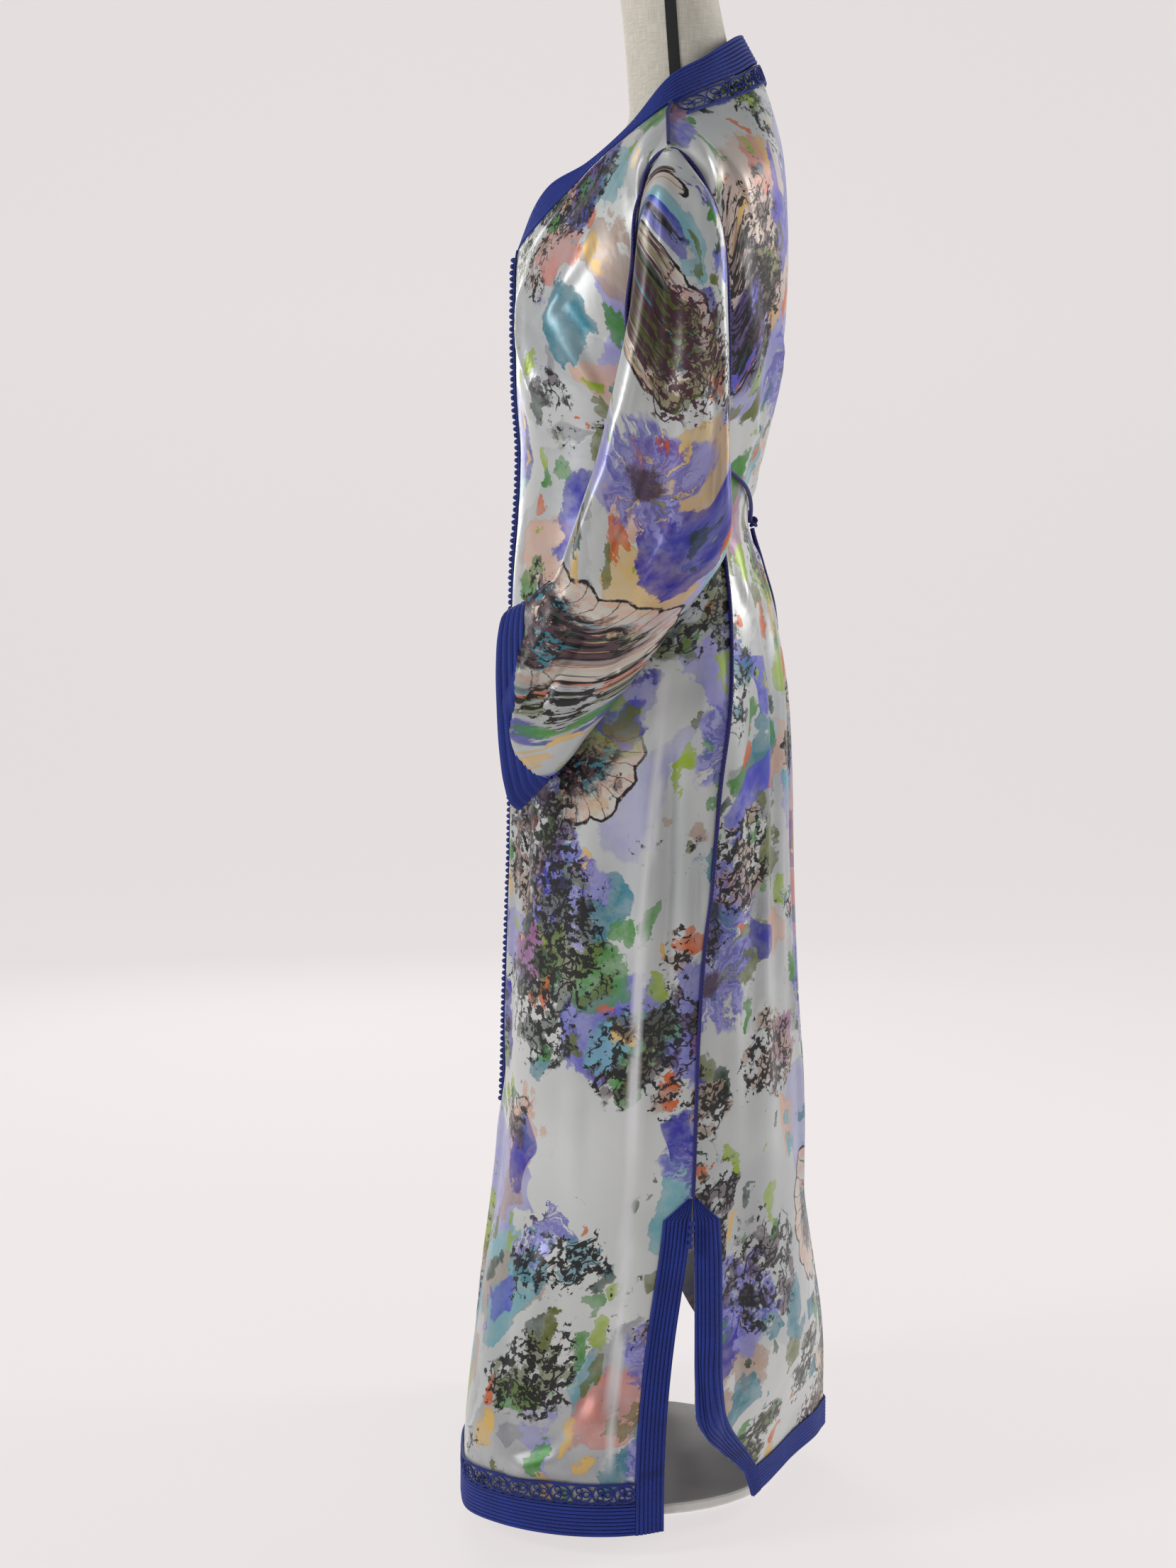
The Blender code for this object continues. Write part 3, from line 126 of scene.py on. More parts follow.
# Where the panels' side edges lie: the slit's two edges, the side seam, then the two sides of the armhole
EdgePoint = namedtuple("EdgePoint", "z y")
SIDE_SEAM = tuple(EdgePoint(*row) for row in (
    (0.332, 0.044), (0.416, 0.047), (0.49, 0.0495), (0.628, 0.06),
    (0.725, 0.069), (0.835, 0.08), (0.88, 0.079), (0.972, 0.068),
    (1.05, 0.048),
))
FRONT_SLIT = tuple(EdgePoint(*row) for row in (
    (0.015, 0.018), (0.187, 0.032), (0.283, 0.041), (0.332, 0.044),
))
BACK_SLIT = tuple(EdgePoint(*row) for row in (
    (0.015, 0.046), (0.187, 0.0455), (0.283, 0.045), (0.332, 0.044),
))
FRONT_ARMHOLE = tuple(EdgePoint(*row) for row in (
    (1.05, 0.048), (1.063, 0.018), (1.08, 0.002), (1.111, -0.011),
    (1.151, -0.0165), (1.2, -0.0115), (1.247, -0.008), (1.289, 0.004),
    (1.3024, 0.0195),
))
BACK_ARMHOLE = tuple(EdgePoint(*row) for row in (
    (1.05, 0.048), (1.063, 0.066), (1.08, 0.0735), (1.111, 0.075),
    (1.151, 0.0745), (1.2, 0.0725), (1.247, 0.0625), (1.289, 0.0395),
    (1.3024, 0.0195),
))

# Neck seam on the body, from the centre out to the shoulder seam
NeckPoint = namedtuple("NeckPoint", "x z")
FRONT_NECK = tuple(NeckPoint(*row) for row in (
    (0.0, BAND_MEETS_FRONT), (0.024, 1.244), (0.046, 1.261),
    (0.064, 1.29), (0.076, 1.32), (0.084, 1.344), (0.088, 1.362),
))
BACK_NECK = tuple(NeckPoint(*row) for row in (
    (0.0, 1.421), (0.028, 1.415), (0.05, 1.402), (0.069, 1.389),
    (0.081, 1.376), (0.088, 1.362),
))

# Upper edge of the neck band on the left: centre front to shoulder, and centre back to shoulder
RimPoint = namedtuple("RimPoint", "x y z")
FRONT_RIM = tuple(RimPoint(*row) for row in (
    (0.0012, -0.115, 1.26), (0.016, -0.105, 1.283), (0.031, -0.088, 1.301),
    (0.045, -0.0606, 1.313), (0.055, -0.033, 1.332), (0.062, 0.0006, 1.364),
    (0.065, 0.0264, 1.396),
))
BACK_RIM = tuple(RimPoint(*row) for row in (
    (0.0, 0.0978, 1.45), (0.028, 0.089, 1.442), (0.049, 0.0706, 1.425),
    (0.06, 0.0458, 1.408), (0.065, 0.0264, 1.396),
))

# Hems on the left, from the centre out to the slit
HemPoint = namedtuple("HemPoint", "x y z")
FRONT_HEM = tuple(HemPoint(*row) for row in (
    (0.0005, -0.158, 0.026), (0.048, -0.165, 0.023), (0.108, -0.177, 0.021),
    (0.165, -0.172, 0.02), (0.208, -0.137, 0.02), (0.232, -0.08, 0.019),
    (0.238, -0.032, 0.019), (0.227, 0.017, 0.021),
))
BACK_HEM = tuple(HemPoint(*row) for row in (
    (0.0, 0.19, 0.04), (0.04, 0.176, 0.04), (0.08, 0.15, 0.036),
    (0.115, 0.128, 0.029), (0.15, 0.105, 0.022),
))
# Height up to which each hem's own curve shapes the panel, at its centre and at its slit
HemReach = namedtuple("HemReach", "centre slit")
FRONT_HEM_REACH = HemReach(0.4, 0.33)
BACK_HEM_REACH = HemReach(0.33, 0.135)

# Folds: place across the panel (0 centre, 1 side), its half width, its drift across per metre of height, the
# heights between which it runs, and its depth (a trough is negative)
Fold = namedtuple("Fold", "across half_width drift low high depth")
FRONT_FOLDS = tuple(Fold(*row) for row in (
    (0.52, 0.2, 0.0, 0.03, 0.185, 0.007),
    (0.3, 0.14, -0.55, 1.02, 1.23, 0.005),
    (0.62, 0.13, 0.05, 0.2, 0.86, -0.0035),
    (0.8, 0.1, 0.0, 0.33, 0.87, 0.0045),
    (0.36, 0.14, 0.0, 0.12, 0.62, 0.003),
))
BACK_FOLDS = tuple(Fold(*row) for row in (
    (0.16, 0.1, 0.0, 0.42, 0.95, 0.0055),
    (0.4, 0.1, 0.1, 0.3, 0.95, 0.005),
    (0.28, 0.08, 0.05, 0.2, 0.93, -0.004),
    (0.66, 0.11, 0.1, 0.09, 0.9, 0.005),
    (0.53, 0.09, 0.05, 0.15, 0.88, -0.004),
    (0.3, 0.16, -0.4, 0.99, 1.24, 0.004),
))
FOLD_RUN_IN = 0.4
LEFT_FOLDS = 1.0
RIGHT_FOLDS = 0.8

# Rows of points: heights above the hem, then levels, then shares of the way from the underarm to the top edge
HEM_ROWS = (0.0, HEM_BAND, HEM_BAND + HEM_LACE)
LEVEL_ROWS = (0.085, 0.12, 0.16, 0.205, 0.245, SLIT_OPEN, SLIT_SHOULDER, SLIT_TOP, 0.4, 0.48, 0.56,
              0.64, 0.72, 0.79, 0.845, 0.89, 0.93, 0.972, 1.01, UNDERARM)
TOP_ROWS = (0.05, 0.12, 0.24, 0.4, 0.6, 0.78, 0.946, 1.0)
EVEN_COLUMNS = 8
NECK_COLUMN = {"front": 5, "back": 4}
SLIT_TOP_ROW = len(HEM_ROWS) + LEVEL_ROWS.index(SLIT_TOP)
UNDERARM_ROW = len(HEM_ROWS) + LEVEL_ROWS.index(UNDERARM)
GIRTH_SAMPLES = 72

# Sleeve rings from the shoulder to the cuff: the front and back edges, the inner and outer faces in X,
# how far the outer face stands above the ring's middle and the inner face hangs below it, a fold on the
# outer face, and how far that face bows forward
SleeveRing = namedtuple("SleeveRing", "front_y front_z back_y back_z inner_x outer_x rise drop fold bow")
SLEEVE = tuple(SleeveRing(*row) for row in (
    (-0.0112, 1.18, 0.0735, 1.172, 0.1715, 0.203, 0.093, 0.118, 0.0, 0.0),
    (-0.014, 1.155, 0.0742, 1.14, 0.176, 0.213, 0.06, 0.099, 0.0, 0.0),
    (-0.022, 1.115, 0.075, 1.095, 0.18, 0.219, 0.035, 0.066, 0.002, 0.0),
    (-0.0292, 1.086, 0.0755, 1.052, 0.183, 0.221, 0.02, 0.038, 0.003, 0.0),
    (-0.04, 1.042, 0.0765, 1.005, 0.186, 0.222, 0.008, 0.014, 0.004, 0.0),
    (-0.0485, 1.01, 0.0778, 0.96, 0.188, 0.222, 0.0, 0.0, 0.004, 0.0),
    (-0.057, 0.985, 0.072, 0.932, 0.1885, 0.222, 0.0, 0.0, 0.004, 0.0),
    (-0.0666, 0.957, 0.0572, 0.908, 0.188, 0.222, 0.0, 0.0, 0.004, 0.0),
    (-0.074, 0.936, 0.0247, 0.865, 0.185, 0.22, 0.0, 0.0, 0.005, 0.0),
    (-0.079, 0.922, -0.012, 0.817, 0.179, 0.215, 0.0, 0.0, 0.006, 0.0),
    (-0.083, 0.914, -0.043, 0.779, 0.171, 0.209, 0.0, 0.0, 0.006, 0.002),
    (-0.088, 0.906, -0.0737, 0.743, 0.164, 0.201, 0.0, 0.0, 0.006, 0.005),
    (-0.106, 0.891, -0.0917, 0.723, 0.156, 0.193, 0.0, 0.0, 0.005, 0.01),
    (-0.127, 0.879, -0.12, 0.694, 0.148, 0.184, 0.0, 0.0, 0.003, 0.015),
))
SLEEVE_SQUARE = 2.4
SLEEVE_POINTS = 2 * len(TOP_ROWS)
ARMHOLE_INSET = 0.0013


# Knots at the slits, and the tie at the back waist with its two hanging ends
SLIT_KNOTS = 4
SLIT_KNOT_PITCH = 0.007
SLIT_KNOT_TOP = 0.31
TIE_RADIUS = 0.002
TIE_SIDE_LEVEL = 1.02
TIE_KNOT_LEVEL = 0.97
TIE_KNOT_RADIUS = 0.006
TIE_END_GAP = 0.0015
TIE_END_POINTS = 8
TieEnd = namedtuple("TieEnd", "name side start_x end_x bottom")
TIE_ENDS = (TieEnd("tie_end_long", 1, 0.003, 0.009, 0.846), TieEnd("tie_end_short", -1, 0.003, 0.007, 0.925))


# Where the back and the sleeves lie in the print: the way that rows run, and how far along and up, in metres
BACK_PRINT = (1, 1.9, 0.37)
SLEEVE_PRINT = {1: (1, 3.1, 0.2), -1: (-1, 4.6, 0.55)}

# Trims: widths and how many cords lie side by side in each braid
NECK_BAND_WIDTH = 0.028
NECK_CORDS, FRONT_CORDS, HEM_CORDS, SLIT_CORDS, CUFF_CORDS = 8, 2, 8, 7, 5
HEM_RING_PITCH, NECK_RING_PITCH, CUFF_RING_PITCH = 0.017, 0.013, 0.013
TAPE_WIDTH = 0.011

# Each sleeve's satin pouches out over its cuff: the height of the pouch, how it rises, and how far it laps
# over the braid at each height above the floor
CUFF_FOLD_HEIGHT = 0.0052
CUFF_FOLD_RISE = 0.03
CUFF_FOLD_LIP = 0.0024
CUFF_FOLD_STEP = 0.0012
CUFF_FOLD_HEIGHTS = (0.7, 0.722, 0.735, 0.75, 0.767, 0.8, 0.833, 0.865)
CUFF_FOLD_LAPS = (0.0, 0.0, 0.012, 0.022, 0.024, 0.016, 0.008, 0.0)
CUFF_FOLD_ENDS = (0.722, 0.734)

# Studio: lamps with their places, aims, sizes and watts, and the camera
Lamp = namedtuple("Lamp", "name place aim width height energy")
LAMPS = tuple(Lamp(*row) for row in (
    ("key", (1.1, -2.9, 2.3), (0.0, 0.0, 0.85), 0.9, 1.3, 54.0),
    ("fill", (2.8, 1.6, 1.5), (0.0, 0.0, 0.7), 1.0, 1.6, 6.0),
    ("rim", (-0.6, 2.9, 2.2), (0.0, 0.0, 0.8), 0.8, 1.4, 46.0),
    ("far_side", (-2.9, -0.8, 1.8), (0.0, 0.0, 0.8), 1.2, 1.6, 36.0),
))
WORLD_STRENGTH = 0.22
STUDIO_GLOW = 0.87
STUDIO_SHADE = 0.22
CAMERA_PLACE = (2.212, -0.054, 0.868)
CAMERA_DOWN = 4.2
CAMERA_LENS = 50.0


# Smooth curves through the tables

class Profile:
    """A smooth curve through (place, value) points, with no overshoot between them."""

    def __init__(self, points):
        self.places = [p[0] for p in points]
        self.values = [p[1] for p in points]
        steps = [b - a for a, b in zip(self.places, self.places[1:])]
        rises = [(b - a) / s for a, b, s in zip(self.values, self.values[1:], steps)]
        self.slopes = [rises[0]] + [mean_slope(*pair) for pair in zip(rises, rises[1:])] + [rises[-1]]

    def __call__(self, place):
        place = min(max(place, self.places[0]), self.places[-1])
        k = max(i for i, start in enumerate(self.places[:-1]) if start <= place)
        step = self.places[k + 1] - self.places[k]
        t = (place - self.places[k]) / step
        rest = 1 - t
        return (rest * rest * (1 + 2 * t) * self.values[k] + t * t * (3 - 2 * t) * self.values[k + 1]
                + step * t * rest * (rest * self.slopes[k] - t * self.slopes[k + 1]))


def mean_slope(before, after):
    return 2 * before * after / (before + after) if before * after > 0 else 0.0


class Path:
    """A smooth curve through points, read by its share of the whole length."""

    def __init__(self, points):
        points = [Vector(p) for p in points]
        lengths = [0.0]
        for a, b in zip(points, points[1:]):
            lengths.append(lengths[-1] + (b - a).length)
        shares = [length / lengths[-1] for length in lengths]
        self.axes = [Profile(list(zip(shares, [p[axis] for p in points]))) for axis in range(len(points[0]))]

    def __call__(self, share):
        return Vector([axis(share) for axis in self.axes])


def table_column(rows, name):
    return Profile([(row.z, getattr(row, name)) for row in rows])


def ease(share):
    """A soft step from 0 to 1."""
    share = min(max(share, 0.0), 1.0)
    return share * share * (3 - 2 * share)


# Body surface

HALF_WIDTH = table_column(SECTIONS, "half_width")
FRONT = table_column(SECTIONS, "front")
MIDDLE = table_column(SECTIONS, "middle")
BACK = table_column(SECTIONS, "back")
FRONT_POWER = table_column(SECTIONS, "front_power")
BACK_POWER = table_column(SECTIONS, "back_power")


def half_limits(z, at_back):
    """How far one half of a section reaches in Y, and how square it is."""
    return (BACK(z), BACK_POWER(z)) if at_back else (FRONT(z), FRONT_POWER(z))


def body_point(angle, z, inset=0.0):
    """The body at this height, from angle 0 at the centre front to pi at the centre back."""
    at_back = angle > math.pi / 2
    limit, power = half_limits(z, at_back)
    limit += -inset if at_back else inset
    x = (HALF_WIDTH(z) - inset) * abs(math.sin(angle)) ** (2 / power)
    y = MIDDLE(z) + (limit - MIDDLE(z)) * abs(math.cos(angle)) ** (2 / power)
    return Vector((x, y, z))


def onto_body(x, y, z):
    """The point of the section straight out from the section's middle through this place."""
    limit, power = half_limits(z, y > MIDDLE(z))
    reach = (abs(x / HALF_WIDTH(z)) ** power
             + abs((y - MIDDLE(z)) / (limit - MIDDLE(z))) ** power) ** (1 / power)
    return Vector((x / reach, MIDDLE(z) + (y - MIDDLE(z)) / reach, z))


def angle_at_y(y, z):
    at_back = y > MIDDLE(z)
    limit, power = half_limits(z, at_back)
    share = min(max((y - MIDDLE(z)) / (limit - MIDDLE(z)), 0.0), 1.0)
    angle = math.acos(share ** (power / 2))
    return math.pi - angle if at_back else angle


def angle_at_x(x, z, at_back):
    power = half_limits(z, at_back)[1]
    angle = math.asin(min(x / HALF_WIDTH(z), 1.0) ** (power / 2))
    return math.pi - angle if at_back else angle


class Girth:
    """Lengths along a half section, from its centre line round to the far centre line."""

    def __init__(self, z, at_back):
        steps = [math.pi * k / GIRTH_SAMPLES for k in range(GIRTH_SAMPLES + 1)]
        self.angles = [math.pi - step for step in steps] if at_back else steps
        points = [body_point(angle, z) for angle in self.angles]
        self.lengths = [0.0]
        for a, b in zip(points, points[1:]):
            self.lengths.append(self.lengths[-1] + (b - a).length)

    def length_at(self, angle):
        return interpolate(abs(angle - self.angles[0]), [abs(a - self.angles[0]) for a in self.angles],
                           self.lengths)

    def angle_at(self, length):
        return interpolate(length, self.lengths, self.angles)


def interpolate(value, places, values):
    for k in range(len(places) - 1):
        if value <= places[k + 1]:
            share = (value - places[k]) / (places[k + 1] - places[k])
            return values[k] + (values[k + 1] - values[k]) * share
    return values[-1]


@lru_cache(maxsize=None)
def girth(z, at_back):
    return Girth(z, at_back)


class Panel:
    """The left half of a cut panel: where its points lie, from its centre line out to its side edge."""

    def __init__(self, at_back, slit, armhole, neck, hem, reach, folds, strip, neck_column):
        self.at_back = at_back
        self.slit, self.seam, self.armhole = Profile(slit), Profile(SIDE_SEAM), Profile(armhole)
        self.neck = Path(neck)
        self.hem = Path(hem)
        self.reach = reach
        self.folds = folds
        self.strip = strip
        self.neck_column = neck_column

    def edge(self, z):
        """The Y of the panel's side edge."""
        if z <= SLIT_TOP:
            return self.slit(z)
        return self.seam(z) if z <= UNDERARM else self.armhole(z)

    def side_length(self, z):
        """Length round the section from the centre line to the side edge."""
        return girth(z, self.at_back).length_at(angle_at_y(self.edge(z), z))

    def columns(self, z):
        """Shares across the panel: a strip at the front's centre, even columns, and a band at the side."""
        length = self.side_length(z)
        start = self.strip / length
        end = 1 - SLIT_BAND / length
        even = [start + (end - start) * k / EVEN_COLUMNS for k in range(EVEN_COLUMNS + 1)]
        return ([0.0] if self.strip else []) + even + [1.0]

    def fold_depth(self, across, z):
        depth = 0.0
        for fold in self.folds:
            centre = fold.across + fold.drift * (z - (fold.low + fold.high) / 2)
            near = 1 - abs(across - centre) / fold.half_width
            along = min(z - fold.low, fold.high - z) / (FOLD_RUN_IN * (fold.high - fold.low))
            depth += fold.depth * ease(near) * ease(along)
        return depth

    def place(self, length, across, z, fold_scale):
        """The body's point, drawn to the hem's own curve near the hem, then moved out by its folds."""
        point = body_point(girth(z, self.at_back).angle_at(length), z)
        hem = self.hem(across)
        reach = self.reach.centre + (self.reach.slit - self.reach.centre) * across
        share = ease((reach - z) / (reach - hem.z))
        point.x += (hem.x - point.x) * share
        point.y += (hem.y - point.y) * share
        return self.folded(point, across, fold_scale)

    def folded(self, point, across, fold_scale):
        out = Vector((point.x, point.y - MIDDLE(point.z), 0)).normalized()
        return point + out * self.fold_depth(across, point.z) * fold_scale

    def rows(self, fold_scale):
        """All the half panel's points, a list for each row from the hem up."""
        result = []
        for height in HEM_ROWS:
            level = LEVEL_ROWS[0]
            result.append([self.place(self.side_length(level) * across, across, self.hem(across).z + height,
                                      fold_scale) for across in self.columns(level)])
        for z in LEVEL_ROWS:
            result.append([self.place(self.side_length(z) * across, across, z, fold_scale)
                           for across in self.columns(z)])
        shares = self.columns(UNDERARM)
        for rise in TOP_ROWS:
            result.append([self.top_point(j, shares, rise, fold_scale) for j in range(len(shares))])
        return result

    def top_edge(self, j, shares):
        """The panel's top edge at a column: along the neck, then down the straight shoulder seam."""
        if j <= self.neck_column:
            x, z = self.neck(shares[j] / shares[self.neck_column])
            return body_point(angle_at_x(x, z, self.at_back), z)
        share = (shares[j] - shares[self.neck_column]) / (1 - shares[self.neck_column])
        return Vector(NECK_CORNER).lerp(Vector(SHOULDER_TIP), share)

    def top_point(self, j, shares, rise, fold_scale):
        """A blend of the underarm row, the top edge and the armhole, brought back onto the body."""
        across = shares[j]
        top = self.top_edge(j, shares)
        if rise == 1.0:
            return top
        underarm = [self.place(self.side_length(UNDERARM) * share, share, UNDERARM, 0.0)
                    for share in (across, 1.0)]
        side_z = UNDERARM + (SHOULDER_TIP[2] - UNDERARM) * rise
        side = body_point(angle_at_y(self.edge(side_z), side_z), side_z)
        spot = underarm[0].lerp(top, rise) + (side - underarm[1].lerp(Vector(SHOULDER_TIP), rise)) * across
        point = onto_body(spot.x, spot.y, UNDERARM + (top.z - UNDERARM) * rise)
        return self.folded(point, across, fold_scale)


FRONT_PANEL = Panel(False, FRONT_SLIT, FRONT_ARMHOLE, FRONT_NECK, FRONT_HEM, FRONT_HEM_REACH, FRONT_FOLDS,
                    FRONT_STRIP, NECK_COLUMN["front"])
BACK_PANEL = Panel(True, BACK_SLIT, BACK_ARMHOLE, BACK_NECK, BACK_HEM, BACK_HEM_REACH, BACK_FOLDS, 0.0,
                   NECK_COLUMN["back"])


def mirrored(rows):
    return [[Vector((-p.x, p.y, p.z)) for p in row] for row in rows]


def side_name(word, side):
    return f"{word}_{'left' if side > 0 else 'right'}"


def rim_for(edge, side):
    """The rim's points above the neck seam's points, front part and back part by their share of length."""
    corner = NECK_COLUMN["front"]
    lengths = [0.0]
    for a, b in zip(edge, edge[1:]):
        lengths.append(lengths[-1] + (b - a).length)
    front, back = Path(FRONT_RIM), Path(BACK_RIM)
    rim = []
    for j, length in enumerate(lengths):
        if j <= corner:
            point = front(length / lengths[corner])
        else:
            point = back((lengths[-1] - length) / (lengths[-1] - lengths[corner]))
        rim.append(Vector((point.x * side, point.y, point.z)))
    return rim


def sleeve_point(ring, turn, side):
    """Turn 0 is the inner face, a quarter the front edge, a half the outer face."""
    front = Vector(((ring.inner_x + ring.outer_x) / 2, ring.front_y, ring.front_z))
    back = Vector((front.x, ring.back_y, ring.back_z))
    centre = (front + back) / 2
    across = math.copysign(abs(math.sin(turn)) ** (2 / SLEEVE_SQUARE), math.sin(turn))
    outward = math.copysign(abs(math.cos(turn)) ** (2 / SLEEVE_SQUARE), -math.cos(turn))
    point = centre + (front - centre) * across
    if outward > 0:
        point += Vector((ring.outer_x - centre.x, 0, ring.rise)) * outward
        point.x += ring.fold * max(math.sin(2 * turn - math.pi), 0.0)
        point.y -= ring.bow * outward
    else:
        point -= Vector((ring.inner_x - centre.x, 0, -ring.drop)) * outward
    return Vector((point.x * side, point.y, point.z))


# Creases of the cloth, by the face they are seen on: spots are (y, z) on a side and (x, z) on the front
# or back
Crease = namedtuple("Crease", "face spots half_width depth")
BODY_CREASES = tuple(Crease(*row) for row in (
    ("side", ((0.066, 0.862), (0.06, 0.79), (0.057, 0.691), (0.055, 0.559)), 0.009, 0.0058),
    ("side", ((0.048, 0.83), (0.041, 0.724), (0.036, 0.592), (0.034, 0.44)), 0.008, 0.0051),
    ("side", ((0.03, 0.8), (0.024, 0.7), (0.02, 0.6), (0.014, 0.48)), 0.007, -0.0032),
    ("side", ((0.077, 0.85), (0.081, 0.724), (0.084, 0.526), (0.086, 0.368)), 0.0085, 0.0054),
    ("side", ((0.098, 0.88), (0.104, 0.76), (0.108, 0.6), (0.104, 0.43)), 0.009, -0.0043),
    ("side", ((0.01, 0.79), (0.004, 0.658), (0.001, 0.526), (-0.008, 0.33)), 0.01, 0.0037),
    ("side", ((-0.02, 0.72), (-0.027, 0.592), (-0.04, 0.43)), 0.012, -0.0032),
    ("side", ((-0.06, 0.7), (-0.066, 0.54), (-0.07, 0.3)), 0.014, 0.0041),
    ("side", ((-0.02, 0.15), (-0.047, 0.116), (-0.081, 0.088), (-0.136, 0.075)), 0.015, 0.0102),
    ("side", ((-0.03, 0.235), (-0.055, 0.175), (-0.06, 0.13)), 0.011, -0.0049),
    ("side", ((-0.1, 0.3), (-0.112, 0.2), (-0.12, 0.11)), 0.013, 0.0061),
    ("side", ((0.0, 0.33), (-0.006, 0.23), (-0.018, 0.12)), 0.012, 0.0051),
    ("side", ((0.064, 0.32), (0.062, 0.2), (0.066, 0.08)), 0.009, 0.0051),
    ("side", ((0.09, 0.36), (0.094, 0.22), (0.086, 0.09)), 0.01, -0.0049),
    ("side", ((0.026, 0.879), (0.046, 0.88), (0.068, 0.875)), 0.003, 0.0019),
    ("side", ((0.03, 0.87), (0.05, 0.872), (0.07, 0.865)), 0.0028, 0.0017),
    ("side", ((0.034, 0.861), (0.052, 0.864), (0.068, 0.855)), 0.0028, 0.0017),
    ("side", ((0.038, 0.852), (0.054, 0.856), (0.066, 0.846)), 0.0026, 0.0015),
    ("side", ((0.056, 0.96), (0.04, 0.93), (0.01, 0.905)), 0.006, 0.0037),
    ("side", ((0.082, 0.962), (0.09, 0.93), (0.1, 0.88)), 0.006, 0.0041),
    ("side", ((-0.104, 1.17), (-0.07, 1.12), (-0.038, 1.076)), 0.009, 0.0061),
    ("side", ((-0.09, 1.19), (-0.058, 1.145), (-0.026, 1.128)), 0.006, -0.0032),
    ("side", ((-0.05, 1.25), (-0.07, 1.2), (-0.098, 1.15)), 0.008, 0.0037),
    ("side", ((0.08, 1.23), (0.1, 1.15), (0.104, 1.06), (0.092, 0.985)), 0.009, 0.0044),
    ("side", ((0.104, 1.24), (0.12, 1.15), (0.118, 1.06), (0.1, 0.99)), 0.008, -0.0035),
    ("back", ((0.022, 0.93), (0.028, 0.78), (0.034, 0.56), (0.03, 0.3)), 0.011, 0.0054),
    ("back", ((0.058, 0.94), (0.066, 0.8), (0.078, 0.56), (0.082, 0.24)), 0.012, 0.0058),
    ("back", ((0.096, 0.93), (0.106, 0.78), (0.118, 0.52)), 0.01, -0.0043),
    ("back", ((0.004, 0.9), (-0.006, 0.7), (-0.002, 0.42)), 0.009, -0.0038),
    ("back", ((0.016, 0.985), (0.05, 1.03), (0.1, 1.06)), 0.007, 0.0044),
    ("back", ((0.012, 1.0), (0.04, 1.08), (0.08, 1.16)), 0.008, 0.0044),
    ("back", ((-0.01, 0.995), (-0.03, 1.07), (-0.09, 1.13)), 0.008, 0.0037),
    ("back", ((0.03, 0.955), (0.048, 0.9), (0.052, 0.85)), 0.007, 0.0037),
    ("front", ((0.05, 1.01), (0.058, 0.86), (0.06, 0.64), (0.07, 0.36)), 0.013, 0.0051),
    ("front", ((0.096, 0.96), (0.104, 0.8), (0.11, 0.56)), 0.012, -0.0041),
    ("front", ((0.03, 0.42), (0.034, 0.26), (0.06, 0.11)), 0.013, 0.0058),
    ("front", ((0.06, 1.21), (0.074, 1.14), (0.11, 1.07)), 0.009, 0.0048),
))
SLEEVE_CREASES = tuple(Crease(*row) for row in (
    ("side", ((0.006, 1.235), (-0.006, 1.13), (-0.036, 1.01), (-0.072, 0.93)), 0.008, 0.0061),
    ("side", ((0.022, 1.215), (0.016, 1.11), (-0.008, 0.99), (-0.055, 0.89)), 0.009, -0.0049),
    ("side", ((0.04, 1.17), (0.044, 1.06), (0.026, 0.96), (-0.018, 0.86)), 0.011, 0.0061),
    ("side", ((0.06, 1.12), (0.064, 1.04), (0.058, 0.96)), 0.007, -0.0038),
    ("side", ((0.052, 0.93), (0.026, 0.885), (-0.012, 0.838), (-0.052, 0.792)), 0.0075, 0.0051),
    ("side", ((0.03, 0.9), (0.0, 0.862), (-0.04, 0.815)), 0.005, -0.0029),
    ("side", ((-0.07, 0.9), (-0.09, 0.86), (-0.112, 0.822), (-0.1328, 0.7787)), 0.0085, 0.0085),
    ("side", ((-0.05, 0.885), (-0.076, 0.835), (-0.1, 0.785)), 0.008, -0.0049),
    ("side", ((-0.03, 1.07), (-0.046, 1.01), (-0.066, 0.962)), 0.005, 0.0034),
    ("side", ((0.01, 1.282), (0.016, 1.24), (0.014, 1.19)), 0.006, 0.0034),
    ("side", ((0.034, 1.262), (0.04, 1.22), (0.048, 1.18)), 0.006, -0.0026),
))
CREASE_RUN_OUT = 0.22
RIGHT_SIDE_SHIFT = (0.006, -0.014)
RIGHT_SIDE_SHARE = 0.85
# A painted highlight down each front, where light catches a pressed crease: the line it follows in (y, z),
# and its half width
CREASE_HIGHLIGHT_LINE = ((0.017, 0.836), (0.01, 0.721), (-0.001, 0.63), (-0.008, 0.495), (-0.017, 0.304),
               (-0.037, 0.071))
CREASE_HIGHLIGHT_HALF_WIDTH = 0.0042

# How closely the cloth and the trims are sampled, and how the cords of a braid are rounded
CLOTH_STEP = 0.0055
TRIM_STEP = 0.004
CORD_SAMPLES = 6
NORMAL_STEP = 0.0012
BRAID_FLOOR = 0.4
THREAD_RADIUS = 0.0008
CORD_STEP = 0.003
CORD_SIDES = 10


# Sheets of cloth

def curve_through(knots, values, places):
    """A smooth curve through the values at the knots, read at each place."""
    steps = numpy.diff(knots)
    rises = numpy.diff(values, axis=0) / steps[:, None]
    inner = rises[1:] * steps[:-1, None] + rises[:-1] * steps[1:, None]
    inner = inner / (steps[:-1] + steps[1:])[:, None]
    slopes = numpy.concatenate([rises[:1], inner, rises[-1:]])
    k = numpy.clip(numpy.searchsorted(knots, places, side="right") - 1, 0, len(steps) - 1)
    t = ((places - knots[k]) / steps[k])[:, None]
    rest = 1 - t
    return (rest * rest * (1 + 2 * t) * values[k] + t * t * (3 - 2 * t) * values[k + 1]
            + steps[k][:, None] * t * rest * (rest * slopes[k] - t * slopes[k + 1]))


